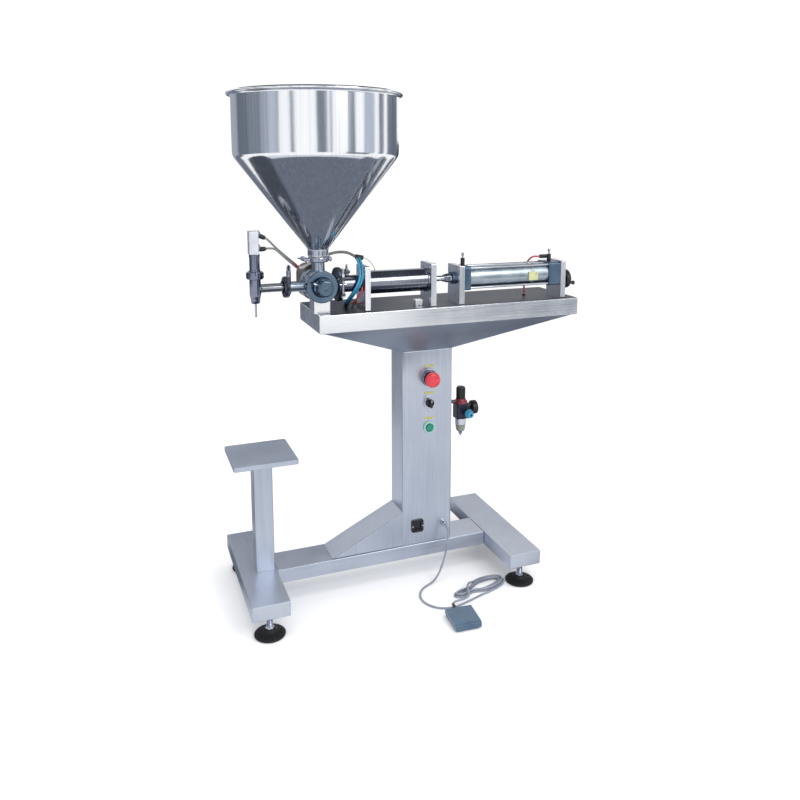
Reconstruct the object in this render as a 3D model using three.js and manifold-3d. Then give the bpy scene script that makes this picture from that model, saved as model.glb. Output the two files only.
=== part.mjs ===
// Pneumatic piston filling machine on a column stand, in millimetres.
// +X runs along the machine from the nozzle to the handwheel, +Y to the back, +Z up, the floor is z = 0.
// Places are measured from the column's centre line, and the last lines move the origin under the middle.
import * as THREE from "three";
import { mergeVertices } from "three/addons/utils/BufferGeometryUtils.js";
import Module from "manifold-3d";

// Fits and facets
const seatGap = 0.3;
const runningGap = 0.5;
const cutOverrun = 1;
const edgeBreak = 1.5;
const weldTolerance = 0.001;
const largeSides = 36;
const roundSides = 20;
const smallSides = 12;
const pinSides = 8;
const cornerSteps = 2;
const rimSteps = 3;
const hexSides = 6;

// Stand
const footLift = 58;
const beamHeight = 39.5;
const beamWall = 3;
const beamCorner = 4;
const footBeamWidth = 97;
const footBeamLength = 410;
const leftFootX = -482;
const rightFootX = 231;
const crossBeamDepth = 98;
const columnWidth = 150;
const columnDepth = 92;
const columnTop = 662;
const columnCorner = 5;
const gussetReach = 206.5;
const gussetRise = 101.5;
const postSide = 50;
const postX = -463.5;
const postY = -16;
const platformTop = 419.5;
const platformWidth = 166;
const platformLength = 165;
const platformRim = 13;
const platformCorner = 6;
const platformSheet = 2;
const postFlangeSide = 110;
const postFlangeThickness = 4;

// Levelling feet
const padRadius = 39.5;
const padHeight = 12;
const padEdge = 5;
const padInset = 30;
const padChamfer = 4.5;
const padHubRadius = 16;
const stemRadius = 8;
const stemEmbed = 22;
const lockNutRadius = 13;
const lockNutHeight = 10;

// Tray
const trayLeft = -321.5;
const trayLength = 762.5;
const trayWidth = 214;
const trayRise = 130.5;
const traySkirt = 48.3;
const traySheet = 2;
const trayLip = 4;
const trayCorner = 4;

// Plates that carry the cylinders
const axisY = -57;
const axisRise = 70.5;
const plateThickness = 15;
const plateDepth = 77;
const plateCorner = 3;
const tallPlateHeight = 116;
const lowPlateHeight = 106;
const frontPlateX = -189;
const rearPlateX = -4.4;
const drivePlateX = 78.2;
const endPlateX = 395.5;

// Product cylinder and its piston
const productRadius = 30.5;
const productWall = 5;
const productSeat = 3;
const productPistonLength = 28;
const productPistonMargin = 8;
const sealGrooveDepth = 2;
const sealGrooveWidth = 5;
const rodRadius = 7.5;
const strokeLength = 120;
const couplingLength = 17;
const couplingRadius = 12.5;
const couplingSocket = 8;

// Air cylinder
const capSide = 66;
const capCorner = 6;
const frontCapLength = 22;
const rearCapLength = 35;
const noseRadius = 17;
const noseReach = 9;
const barrelRadius = 30.5;
const barrelWall = 2.5;
const airPistonLength = 20;
const tieRodRadius = 3;
const tieRodOffset = 25;
const airFittingRadius = 6;
const airFittingHeight = 20;
const airNeedleRadius = 2.2;
const airNeedleHeight = 15;
const rearFittingReach = 31;
const rearFittingRadius = 5.5;
const rearFittingRise = 14;

// Handwheel and its stop screw
const handwheelDrop = 21;
const handwheelRadius = 27;
const handwheelWidth = 14;
const handwheelStandoff = 15;
const handwheelDish = 5;
const handwheelRim = 7;
const handwheelHubRadius = 10;
const stopScrewRadius = 6;
const gripRadius = 6.2;
const gripWaistRadius = 3.6;
const gripRounding = 2.2;
const gripLength = 13.75;
const gripPinRadius = 2;
const gripPinReach = 5;
const gripArm = 21;
const gripAngleShare = 0.585;

// Hopper
const hopperX = -310;
const hopperRadius = 206;
const hopperWallHeight = 152.5;
const hopperConeHeight = 233;
const hopperNeckLength = 18.5;
const hopperSpigotLength = 7.7;
const hopperJunctionBlend = 10;
const hopperNeckRadius = 26;
const hopperSheet = 2;
const hopperRimReach = 11;
const hopperRimRadius = 4.5;
const hopperFerruleBore = 14;

// Pipe clamps
const ferruleThickness = 3;
const clampCheek = 3;
const clampBand = 4;
const clampEarReach = 15;
const clampEarThickness = 10;
const clampSplit = 6;
const clampBoltRadius = 3;
const clampBoltReach = 30;
const wingHubRadius = 6;
const wingHubLength = 16;
const wingSpan = 11;
const wingRise = 14;
const wingThickness = 3;
const wingNotch = 4;
const wingFoot = 9;
const cylinderBoltReach = 24;
const cylinderNutLength = 8;
const cylinderLug = 6;

// Rotary valve under the hopper
const valveBodyRadius = 36;
const valveFlangeRadius = 41;
const valveFlangeThickness = 10;
const valveHalfLength = 31;
const valveCoverThickness = 9;
const valveBoreRadius = 25;
const valveStep = 4;
const bossRadius = 22;
const bossReach = 30;
const shaftRadius = 8;
const shaftReach = 20;
const portRadius = 11;
const inletNeckRadius = 16.5;
const inletNeckRise = 64;
const inletFerruleRadius = 22;
const outletNeckRadius = 13.5;
const outletReach = 85;
const outletFerruleRadius = 23;
const cylinderNeckRadius = 22;
const cylinderReach = 51;
const cylinderFerruleRadius = 40;
const valveFootWidth = 40;
const valveFootDepth = 50;
const actuatorWidth = 64;
const actuatorHeight = 90;
const actuatorDepth = 84;
const actuatorCorner = 20;

// Nozzle
const nozzleX = -472;
const nozzleRadius = 14;
const nozzleEndRadius = 11;
const nozzleDrop = 37;
const nozzleRounding = 4;
const nozzleJointRise = 33.5;
const nozzleBore = 9;
const nozzleFloor = 8;
const outletPipeRadius = 11;
const outletPipeBore = 8;
const tipRadius = 2.7;
const tipBore = 1.4;
const tipReach = 35;
const tipSocket = 5;
const nozzleClampRadius = 21;
const nozzleClampHeight = 21;
const nozzleFerruleRadius = 17;
const yokeRadius = 13.5;
const yokeLength = 52;
const yokePlate = 5;
const yokeBarThickness = 3;
const yokeBarDepth = 18;
const needleRadius = 3;
const needleHeadLength = 16;
const needleTravel = 8;
const needleSeat = 3;
const actuatorBlockWidth = 27;
const actuatorBlockDepth = 28;
const actuatorBlockHeight = 58;
const actuatorBlockCorner = 3;
const actuatorBlockWall = 4;
const needlePistonLength = 10;
const nozzleFittingRadius = 4.5;
const nozzleFittingStub = 7;
const nozzleFittingReach = 20;
const nozzleFittingNeck = 3;
const nozzleFittingInset = 12;

// Controls on the column
const controlX = 4;
const stopDrop = 78;
const controlPitch = 71.5;
const barrelHoleRadius = 11;
const panelBarrelLength = 22;
const stopCollarRadius = 24;
const stopCollarLength = 12;
const stopHeadRadius = 20;
const stopHeadLength = 15;
const stopStemRadius = 7;
const stopStandoff = 9;
const stopTravel = 5;
const stopEdge = 3;
const selectorRadius = 12;
const selectorLength = 12;
const selectorBar = 7;
const selectorBarLength = 9;
const startBezelRadius = 15;
const startBezelLength = 4;
const startButtonRadius = 11;
const startButtonReach = 5;
const startTravel = 3;
const inletX = -30;
const inletRise = 53.5;
const inletWidth = 36;
const inletTall = 42;
const inletReach = 4;
const inletRecessWidth = 24;
const inletRecessTall = 18;
const inletRecessDepth = 10;
const inletBodyDepth = 20;
const glandX = 50;
const glandRise = 51.5;
const glandRadius = 9;
const glandThreadRadius = 4.5;
const glandLip = 1.5;
const glandNutLength = 8;
const glandDomeLength = 6;

// Filter regulator on the column's right side
const regulatorStand = 44;
const regulatorY = -10;
const regulatorDrop = 172;
const regulatorHeight = 46;
const regulatorWidth = 36;
const regulatorCorner = 3;
const regulatorRingRadius = 19;
const regulatorRingHeight = 13;
const regulatorKnobRadius = 12;
const regulatorKnobHeight = 32;
const regulatorStemRadius = 6;
const regulatorBracketHeight = 36;
const regulatorBracketDepth = 40;
const regulatorBracketSheet = 3;
const bowlRadius = 15;
const bowlHeight = 39;
const bowlWall = 2;
const bowlTaper = 4;
const drainRadius = 3;
const drainReach = 14;
const gaugeRadius = 20;
const gaugeLength = 17;
const gaugeStemRadius = 5;
const gaugeStemLength = 13;
const gaugeDrop = 19;
const portFittingRadius = 7;
const portFittingReach = 18;
const portFittingShift = 9;
const portFittingDrop = 27;

// Foot switch
const pedalX = -6;
const pedalY = -300;
const pedalWidth = 72;
const pedalLength = 84;
const pedalHeight = 24;
const pedalTurnDegrees = -3;
const pedalBaseHeight = 10;
const pedalCorner = 6;
const pedalWall = 2.5;
const treadleFrontDrop = 4;
const treadleClearance = 4.2;
const hingeRadius = 2.5;
const hingeInset = 9;
const hingeHeight = 14;
const hingeEarWidth = 8;
const hingeEarDepth = 9;
const treadleTravelDegrees = 3;
const cableBushRadius = 5.5;
const cableBushReach = 6;
const cableHeight = 9.6;

// Foot switch cord
const cordDiameter = 5.5;
const cordSides = 6;
const cordSteps = 36;
const floorGap = 0.2;
const hankLoops = 4;
const hankStepsPerLoop = 24;
const hankHalfLength = 88;
const hankRightWidth = 36;
const hankLeftWidth = 28;
const hankWaist = -32;
const hankWaistDepth = 9;
const hankWaistReach = 28;
const hankPitch = 8.6;
const hankX = 104;
const hankY = -172;
const hankTurnDegrees = 13;
const hankStartShare = 0.79;
const hankEndShare = 0.25;
const hankClimbShare = 0.25;
const hankTailSteps = 16;

// The hank's tail over its own strands, along it, across it and up from the floor.
const hankTail = [
  [-12, 20.5, 12.5],
  [-24, 15, 15.6],
  [-35, 6, 16.4],
  [-44, -6, 16.4],
  [-52, -19, 16],
  [-61, -32, 14],
];

// The foot switch's cord from the gland down to the hank.
const cordRoute = [
  [50, -68, 148.5],
  [51, -77, 143],
  [50, -84, 129],
  [46, -88, 106],
  [38, -91, 76],
  [26, -95, 44],
  [11, -99, 19],
  [-6, -104, 6],
  [-25, -111, 2.95],
  [-44, -123, 2.95],
  [-59, -142, 2.95],
  [-67, -167, 2.95],
  [-64, -192, 2.95],
  [-53, -212, 2.95],
  [-37, -226, 2.95],
  [-18, -234, 2.95],
  [3, -236, 2.95],
  [25, -231, 2.95],
  [48, -224, 2.95],
  [72, -216, 2.95],
  [96, -208, 2.95],
];

// Air hoses
const hoseRadius = 3;
const hoseSides = 6;
const hoseSteps = 12;
const valveHoseSteps = 21;

// Middle points of each air hose, with its height above the cylinders' axis.
const upperNozzleLanding = [-326, 24];
const lowerNozzleLanding = [-338, 4];
const upperNozzleRoute = [[-422, -52, 115], [-396, -34, 91], [-366, -8, 65], [-342, 14, 53]];
const lowerNozzleRoute = [[-424, -56, 94], [-404, -50, 79], [-384, -38, 62], [-362, -16, 51]];
const valveRoute = [
  [-296, 18, 53],
  [-286, 12, 67],
  [-268, 2, 75],
  [-240, -18, 81],
  [-218, -42, 73],
  [-207, -68, 63],
  [-205, -82, 44],
  [-209, -88, 15],
  [-222, -86, -11],
  [-234, -76, -37],
  [-240, -66, -55],
];
const plateFittingDrop = 1.8;
const plateRoute = [[-206, -83, -11], [-208, -80, -25], [-214, -74, -43], [-222, -70, -57]];
const rearRoute = [[-14, -48, 46], [-20, -30, 33], [-22, -17, 13], [-22, -13, -23]];

// Heights and places that follow from the sizes above
const beamTop = footLift + beamHeight;
const trayTop = columnTop + trayRise;
const axisHeight = trayTop + axisRise;
const outletFerruleX = hopperX - outletReach;
const cylinderFerruleX = hopperX + cylinderReach;
const inletNeckTop = axisHeight + inletNeckRise;
const nozzleBottom = axisHeight - nozzleDrop;
const nozzleJoint = axisHeight + nozzleJointRise;
const yokeTop = nozzleJoint + yokeLength;
const stopZ = columnTop - stopDrop;
const selectorZ = stopZ - controlPitch;
const startZ = selectorZ - controlPitch;
const inletHeight = beamTop + inletRise;
const glandHeight = beamTop + glandRise;
const regulatorX = columnWidth / 2 + regulatorStand;
const regulatorTop = columnTop - regulatorDrop;
const regulatorBottom = regulatorTop - regulatorHeight;
const grooveHalf = ferruleThickness + seatGap + seatGap / 2;

const wasm = await Module();
wasm.setup();

// Solids from three.js geometry

function solidFrom(positions, corners) {
  const mesh = new wasm.Mesh({
    numProp: 3,
    vertProperties: new Float32Array(positions),
    triVerts: new Uint32Array(corners),
  });
  return new wasm.Manifold(mesh);
}

function solid(geometry) {
  const bare = new THREE.BufferGeometry();
  bare.setAttribute("position", geometry.getAttribute("position"));
  bare.setIndex(geometry.index);
  const merged = mergeVertices(bare, weldTolerance);
  const positions = merged.attributes.position.array;
  const index = merged.index.array;
  const corners = [];
  for (let i = 0; i < index.length; i += 3) {
    const [a, b, c] = index.subarray(i, i + 3);
    if (a !== b && b !== c && c !== a) corners.push(a, b, c);
  }
  const made = solidFrom(positions, corners);
  if (made.volume() >= 0) return made;
  return solidFrom(positions, corners.reverse());
}

function joined(pieces) {
  return pieces.reduce((whole, piece) => whole.add(piece));
}

function cut(whole, tools) {
  return tools.reduce((left, tool) => left.subtract(tool), whole);
}

// Frames that turn a profile's height along an axis
const turns = {
  X: new THREE.Matrix4().makeRotationZ(-Math.PI / 2),
  Y: new THREE.Matrix4(),
  Z: new THREE.Matrix4().makeRotationX(Math.PI / 2),
};

// Frames that lay a drawn shape in the plane across an axis
const planes = {
  X: new THREE.Matrix4().makeBasis(
    new THREE.Vector3(0, 1, 0),
    new THREE.Vector3(0, 0, 1),
    new THREE.Vector3(1, 0, 0),
  ),
  Y: new THREE.Matrix4().makeBasis(
    new THREE.Vector3(1, 0, 0),
    new THREE.Vector3(0, 0, 1),
    new THREE.Vector3(0, -1, 0),
  ),
  Z: new THREE.Matrix4(),
};

function turned(profile, axis = "Z", sides = roundSides) {
  const points = profile.map(([radius, height]) => new THREE.Vector2(radius, height));
  const geometry = new THREE.LatheGeometry(points, sides);
  return solid(geometry.applyMatrix4(turns[axis]));
}

function rod(radius, low, high, axis = "Z", sides = roundSides) {
  return turned([[0, low], [radius, low], [radius, high], [0, high]], axis, sides);
}

function ring(outer, inner, low, high, axis = "Z", sides = roundSides) {
  return turned([[inner, low], [outer, low], [outer, high], [inner, high], [inner, low]], axis, sides);
}

function block(xLow, xHigh, yLow, yHigh, zLow, zHigh) {
  const geometry = new THREE.BoxGeometry(xHigh - xLow, yHigh - yLow, zHigh - zLow);
  geometry.translate((xLow + xHigh) / 2, (yLow + yHigh) / 2, (zLow + zHigh) / 2);
  return solid(geometry);
}

function roundedRectangle(width, height, corner) {
  const shape = new THREE.Shape();
  const right = width / 2 - corner;
  const top = height / 2 - corner;
  shape.absarc(right, -top, corner, -Math.PI / 2, 0);
  shape.absarc(right, top, corner, 0, Math.PI / 2);
  shape.absarc(-right, top, corner, Math.PI / 2, Math.PI);
  shape.absarc(-right, -top, corner, Math.PI, Math.PI * 1.5);
  return shape;
}

function polygon(points) {
  return new THREE.Shape(points.map(([across, up]) => new THREE.Vector2(across, up)));
}

// Extrudes a shape across an axis between two places on it.
function prism(shape, axis, low, high, curveSegments = cornerSteps) {
  const settings = { depth: high - low, bevelEnabled: false, curveSegments };
  const geometry = new THREE.ExtrudeGeometry(shape, settings).applyMatrix4(planes[axis]);
  const start = { X: [low, 0, 0], Y: [0, high, 0], Z: [0, 0, low] }[axis];
  return solid(geometry.translate(...start));
}

function boxTube(width, height, corner, wall, axis, low, high) {
  const outer = prism(roundedRectangle(width, height, corner), axis, low, high);
  const bore = roundedRectangle(width - 2 * wall, height - 2 * wall, corner - wall / 2);
  return outer.subtract(prism(bore, axis, low - cutOverrun, high + cutOverrun));
}

// Joins two outlines of as many points by straight faces.
function lofted(lowShape, lowHeight, highShape, highHeight) {
  const low = lowShape.getPoints(cornerSteps).slice(1);
  const high = highShape.getPoints(cornerSteps).slice(1);
  const count = low.length;
  const positions = [0, 0, lowHeight, 0, 0, highHeight];
  for (const point of low) positions.push(point.x, point.y, lowHeight);
  for (const point of high) positions.push(point.x, point.y, highHeight);
  const corners = [];
  for (let i = 0; i < count; i += 1) {
    const next = (i + 1) % count;
    const [a, b] = [2 + i, 2 + next];
    const [c, d] = [a + count, b + count];
    corners.push(0, b, a, 1, c, d, a, b, d, a, d, c);
  }
  const geometry = new THREE.BufferGeometry();
  geometry.setAttribute("position", new THREE.Float32BufferAttribute(positions, 3));
  geometry.setIndex(corners);
  return solid(geometry);
}

function arc(centreRadius, centreHeight, radius, from, to, steps) {
  const points = [];
  for (let i = 0; i <= steps; i += 1) {
    const angle = from + ((to - from) * i) / steps;
    points.push([centreRadius + radius * Math.cos(angle), centreHeight + radius * Math.sin(angle)]);
  }
  return points;
}

// Stand

function footBeam(x) {
  const half = footBeamLength / 2;
  const section = roundedRectangle(footBeamWidth, beamHeight, beamCorner);
  const hollow = roundedRectangle(footBeamWidth - 2 * beamWall, beamHeight - 2 * beamWall, beamCorner / 2);
  const outer = prism(section, "Y", -half, half);
  const inner = prism(hollow, "Y", beamWall - half, half - beamWall);
  const stemHoles = [-1, 1].map((side) => {
    const hole = rod(stemRadius + runningGap, -beamHeight / 2 - cutOverrun, 0, "Z", smallSides);
    return hole.translate([0, side * (half - padInset), 0]);
  });
  return cut(outer, [inner, ...stemHoles]).translate([x, 0, footLift + beamHeight / 2]);
}

function crossBeam() {
  const low = leftFootX + footBeamWidth / 2 + seatGap;
  const high = rightFootX - footBeamWidth / 2 - seatGap;
  const tube = boxTube(crossBeamDepth, beamHeight, beamCorner, beamWall, "X", low, high);
  return tube.translate([0, 0, footLift + beamHeight / 2]);
}

function gusset() {
  const face = columnWidth / 2;
  const low = beamTop + seatGap;
  const high = beamTop + gussetRise;
  const slope = gussetRise / gussetReach;
  const outer = polygon([
    [-face - gussetReach, low],
    [-face + beamWall, low],
    [-face + beamWall, high],
    [-face, high],
  ]);
  const inset = beamWall * Math.hypot(1, slope);
  const innerTip = -face - gussetReach + (inset + cutOverrun) / slope;
  const inner = polygon([[innerTip, low - cutOverrun], [-face, low - cutOverrun], [-face, high - inset]]);
  const shell = prism(outer, "Y", -columnDepth / 2, columnDepth / 2);
  return shell.subtract(prism(inner, "Y", beamWall - columnDepth / 2, columnDepth / 2 - beamWall));
}

const columnFront = -columnDepth / 2;

function column() {
  const low = beamTop + seatGap;
  const tube = boxTube(columnWidth, columnDepth, columnCorner, beamWall, "Z", low, columnTop);
  const near = columnFront - cutOverrun;
  const far = columnFront + beamWall + cutOverrun;
  const controlHole = rod(barrelHoleRadius + seatGap, near, far, "Y");
  const socket = roundedRectangle(
    inletRecessWidth + 2 * beamWall,
    inletRecessTall + 2 * beamWall,
    beamWall,
  );
  const window = prism(socket, "Y", near, far);
  const glandHole = rod(glandThreadRadius + seatGap, near, far, "Y", smallSides);
  return cut(tube.add(gusset()), [
    ...[startZ, selectorZ, stopZ].map((z) => controlHole.translate([controlX, 0, z])),
    window.translate([inletX, 0, inletHeight]),
    glandHole.translate([glandX, 0, glandHeight]),
  ]);
}

function platformPost() {
  const high = platformTop - platformSheet - seatGap;
  const tube = boxTube(postSide, postSide, beamCorner, beamWall, "Z", beamTop + seatGap, high);
  const outline = roundedRectangle(postFlangeSide, postFlangeSide, beamCorner);
  const flange = prism(outline, "Z", high - postFlangeThickness, high);
  return tube.add(flange).translate([postX, postY, 0]);
}

function platform() {
  const inside = [platformWidth, platformLength].map((side) => side - 2 * platformSheet);
  const outer = roundedRectangle(platformWidth, platformLength, platformCorner);
  const inner = roundedRectangle(...inside, platformCorner - platformSheet);
  const low = platformTop - platformRim;
  const pan = prism(outer, "Z", low, platformTop);
  const hollow = prism(inner, "Z", low - cutOverrun, platformTop - platformSheet);
  return pan.subtract(hollow).translate([postX, postY, 0]);
}

function levellingFoot(x, y) {
  const lockTop = footLift - seatGap;
  const profile = [
    [0, 0],
    [padRadius - padChamfer, 0],
    [padRadius, padEdge / 2],
    [padRadius, padEdge],
    [padHubRadius, padHeight],
    [stemRadius, padHeight],
    [stemRadius, footLift + stemEmbed],
    [0, footLift + stemEmbed],
  ];
  const lockNut = rod(lockNutRadius, lockTop - lockNutHeight, lockTop, "Z", hexSides);
  return turned(profile).add(lockNut).translate([x, y, 0]);
}

// Tray with its funnel-shaped underside

function trayShell(inset) {
  const length = trayLength - 2 * inset;
  const width = trayWidth - 2 * inset;
  const bottom = trayTop - traySkirt + inset;
  const corner = trayCorner - inset / 2;
  const lip = trayLip + inset / 2;
  const skirt = prism(roundedRectangle(length, width, corner), "Z", bottom, trayTop - inset);
  const centre = trayLeft + trayLength / 2;
  const mouth = roundedRectangle(columnWidth - 2 * inset, columnDepth - 2 * inset, columnCorner);
  const rim = roundedRectangle(length - 2 * lip, width - 2 * lip, columnCorner);
  const low = columnTop + seatGap - (inset > 0 ? cutOverrun : 0);
  const shear = (shape, shift) => {
    const points = shape.getPoints(cornerSteps).map((point) => new THREE.Vector2(point.x + shift, point.y));
    return new THREE.Shape(points);
  };
  const funnel = lofted(mouth, low, shear(rim, centre), bottom + inset);
  return skirt.translate([centre, 0, 0]).add(funnel);
}

function tray() {
  return trayShell(0).subtract(trayShell(traySheet));
}

// Plates

function plate(x, height, holes) {
  const low = trayTop + seatGap;
  const outline = roundedRectangle(plateDepth, height, plateCorner);
  const slab = prism(outline, "X", x - plateThickness / 2, x + plateThickness / 2);
  return cut(slab.translate([0, axisY, low + height / 2]), holes);
}

function onAxis(piece, drop = 0) {
  return piece.translate([0, axisY, axisHeight - drop]);
}

const frontPlateRight = frontPlateX + plateThickness / 2;
const frontPlateLeft = frontPlateX - plateThickness / 2;
const rearPlateLeft = rearPlateX - plateThickness / 2;
const rearPlateRight = rearPlateX + plateThickness / 2;
const drivePlateLeft = drivePlateX - plateThickness / 2;
const drivePlateRight = drivePlateX + plateThickness / 2;
const endPlateLeft = endPlateX - plateThickness / 2;
const endPlateRight = endPlateX + plateThickness / 2;
const productBore = productRadius - productWall;

function frontPlate() {
  const seatEnd = frontPlateRight + cutOverrun;
  const seat = onAxis(rod(productRadius + seatGap, frontPlateRight - productSeat, seatEnd, "X", largeSides));
  const neck = rod(cylinderNeckRadius, cylinderFerruleX + seatGap / 2, frontPlateLeft + cutOverrun, "X");
  const ferrule = rod(
    cylinderFerruleRadius,
    cylinderFerruleX + seatGap / 2,
    cylinderFerruleX + seatGap / 2 + ferruleThickness,
    "X",
  );
  const bore = onAxis(rod(portRadius, cylinderFerruleX - cutOverrun, frontPlateRight, "X", smallSides));
  const slab = plate(frontPlateX, tallPlateHeight, []);
  return cut(joined([slab, onAxis(neck), onAxis(ferrule)]), [seat, bore]);
}

function rearPlate() {
  const seatEnd = rearPlateLeft + productSeat;
  const seat = rod(productRadius + seatGap, rearPlateLeft - cutOverrun, seatEnd, "X", largeSides);
  const bore = rod(productBore, rearPlateLeft, rearPlateRight + cutOverrun, "X", largeSides);
  return plate(rearPlateX, tallPlateHeight, [onAxis(seat), onAxis(bore)]);
}

function drivePlate() {
  const bore = rod(noseRadius + seatGap, drivePlateLeft - cutOverrun, drivePlateRight + cutOverrun, "X");
  return plate(drivePlateX, lowPlateHeight, [onAxis(bore)]);
}

function endPlate() {
  const low = endPlateLeft - cutOverrun;
  const bore = rod(stopScrewRadius + runningGap, low, endPlateRight + cutOverrun, "X", smallSides);
  return plate(endPlateX, lowPlateHeight, [onAxis(bore, handwheelDrop)]);
}

// Product cylinder

function productCylinder() {
  const low = frontPlateRight - productSeat + seatGap;
  const high = rearPlateLeft + productSeat - seatGap;
  return onAxis(ring(productRadius, productBore, low, high, "X", largeSides));
}

const couplingRight = drivePlateLeft - noseReach - runningGap;
const couplingLeft = couplingRight - couplingLength;
const pistonBack = rearPlateLeft - productPistonMargin;

function productPiston() {
  const radius = productBore - seatGap;
  const front = pistonBack - productPistonLength;
  const groove = radius - sealGrooveDepth;
  const margin = (productPistonLength - 2 * sealGrooveWidth) / 3;
  const land = (place) => front + margin * place + sealGrooveWidth * (place - 1);
  const profile = [[0, front], [radius, front]];
  for (const place of [1, 2]) {
    profile.push([radius, land(place)], [groove, land(place)]);
    profile.push([groove, land(place) + sealGrooveWidth], [radius, land(place) + sealGrooveWidth]);
  }
  profile.push([radius, pistonBack], [rodRadius, pistonBack]);
  const tail = couplingLeft + couplingSocket - seatGap;
  profile.push([rodRadius, tail], [0, tail]);
  return onAxis(turned(profile, "X"));
}

// Air cylinder

const frontCapLeft = drivePlateRight + seatGap;
const frontCapRight = frontCapLeft + frontCapLength;
const rearCapRight = endPlateLeft - seatGap;
const rearCapLeft = rearCapRight - rearCapLength;

function capBlock(low, high) {
  return prism(roundedRectangle(capSide, capSide, capCorner), "X", low, high);
}

function frontCap() {
  const nose = rod(noseRadius, drivePlateLeft - noseReach, frontCapLeft + cutOverrun, "X");
  const fittingX = (frontCapLeft + frontCapRight) / 2;
  const base = capSide / 2;
  const fitting = turned([
    [0, base - cutOverrun],
    [airFittingRadius, base - cutOverrun],
    [airFittingRadius, base + airFittingHeight],
    [airNeedleRadius, base + airFittingHeight],
    [airNeedleRadius, base + airFittingHeight + airNeedleHeight],
    [0, base + airFittingHeight + airNeedleHeight],
  ], "Z", smallSides).translate([fittingX, 0, 0]);
  const corners = [[-1, -1], [-1, 1], [1, -1], [1, 1]];
  const tieRods = corners.map(([side, up]) => {
    const bar = rod(tieRodRadius, fittingX, rearCapLeft - seatGap, "X", pinSides);
    return bar.translate([0, side * tieRodOffset, up * tieRodOffset]);
  });
  const whole = joined([capBlock(frontCapLeft, frontCapRight), nose, fitting, ...tieRods]);
  const boreLow = drivePlateLeft - noseReach - cutOverrun;
  const bore = rod(rodRadius + runningGap, boreLow, frontCapRight + cutOverrun, "X", smallSides);
  return onAxis(whole.subtract(bore));
}

function airBarrel() {
  const low = frontCapRight + seatGap;
  const high = rearCapLeft - seatGap;
  return onAxis(ring(barrelRadius, barrelRadius - barrelWall, low, high, "X", largeSides));
}

const rearFittingX = (rearCapLeft + rearCapRight) / 2;

function rearCap() {
  const base = capSide / 2;
  const rise = base + rearFittingRise;
  const post = rod(airFittingRadius, base - cutOverrun, rise + rearFittingRadius, "Z", smallSides);
  const needle = rod(airNeedleRadius, rise, rise + airFittingHeight, "Z", smallSides);
  const outlet = rod(rearFittingRadius, rearFittingX - rearFittingReach, rearFittingX, "X", smallSides);
  const whole = joined([
    capBlock(rearCapLeft, rearCapRight),
    post.translate([rearFittingX, 0, 0]),
    needle.translate([rearFittingX, 0, 0]),
    outlet.translate([0, 0, rise]),
  ]);
  const low = rearCapLeft - cutOverrun;
  const bore = rod(stopScrewRadius + runningGap, low, rearCapRight + cutOverrun, "X", smallSides);
  return onAxis(whole.subtract(bore.translate([0, 0, -handwheelDrop])));
}

const airPistonBack = rearCapLeft - productPistonMargin;

function airPiston() {
  const radius = barrelRadius - barrelWall - seatGap;
  const front = airPistonBack - airPistonLength;
  const body = turned([
    [0, couplingRight - cutOverrun],
    [rodRadius, couplingRight - cutOverrun],
    [rodRadius, front],
    [radius, front],
    [radius, airPistonBack],
    [0, airPistonBack],
  ], "X");
  const coupling = rod(couplingRadius, couplingLeft, couplingRight, "X", hexSides);
  const socket = rod(rodRadius + seatGap, couplingLeft - cutOverrun, couplingLeft + couplingSocket, "X");
  return onAxis(coupling.add(body).subtract(socket));
}

// Handwheel with its stop screw and grip

const handwheelLeft = endPlateRight + handwheelStandoff;
const handwheelRight = handwheelLeft + handwheelWidth;

function handwheel() {
  const dish = handwheelRight - handwheelDish;
  const rimInner = handwheelRadius - handwheelRim;
  const rimCentre = handwheelRadius - handwheelDish;
  const rimLow = handwheelLeft + handwheelDish;
  const quarter = Math.PI / 2;
  const profile = [
    [0, airPistonBack + seatGap],
    [stopScrewRadius, airPistonBack + seatGap],
    [stopScrewRadius, handwheelLeft - handwheelDish],
    [handwheelHubRadius, handwheelLeft - handwheelDish],
    [handwheelHubRadius, handwheelLeft],
    ...arc(rimCentre, rimLow, handwheelDish, -quarter, 0, cornerSteps),
    ...arc(rimCentre, dish, handwheelDish, 0, quarter, cornerSteps),
    [rimInner, handwheelRight],
    [rimInner, dish],
    [handwheelHubRadius, dish],
    [handwheelHubRadius, handwheelRight - handwheelDish / 2],
    [0, handwheelRight - handwheelDish / 2],
  ];
  const [y, z] = gripPlace();
  const pin = rod(gripPinRadius, dish - cutOverrun, handwheelRight + gripPinReach, "X", pinSides);
  return onAxis(turned(profile, "X").add(pin.translate([0, y, z])), handwheelDrop);
}

function gripPlace() {
  const angle = gripAngleShare * 2 * Math.PI;
  return [gripArm * Math.cos(angle), gripArm * Math.sin(angle)];
}

function handwheelGrip() {
  const low = handwheelRight + seatGap;
  const high = low + gripLength;
  const bore = gripPinRadius + runningGap;
  const depth = handwheelRight + gripPinReach + seatGap;
  const bulb = gripRadius - gripRounding;
  const profile = [
    [bore, low],
    [gripWaistRadius, low],
    ...arc(bulb, high - gripRounding, gripRounding, -Math.PI / 3, Math.PI / 2, cornerSteps),
    [0, high],
    [0, depth],
    [bore, depth],
    [bore, low],
  ];
  const [y, z] = gripPlace();
  return onAxis(turned(profile, "X", smallSides).translate([0, y, z]), handwheelDrop);
}

// Hopper

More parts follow.
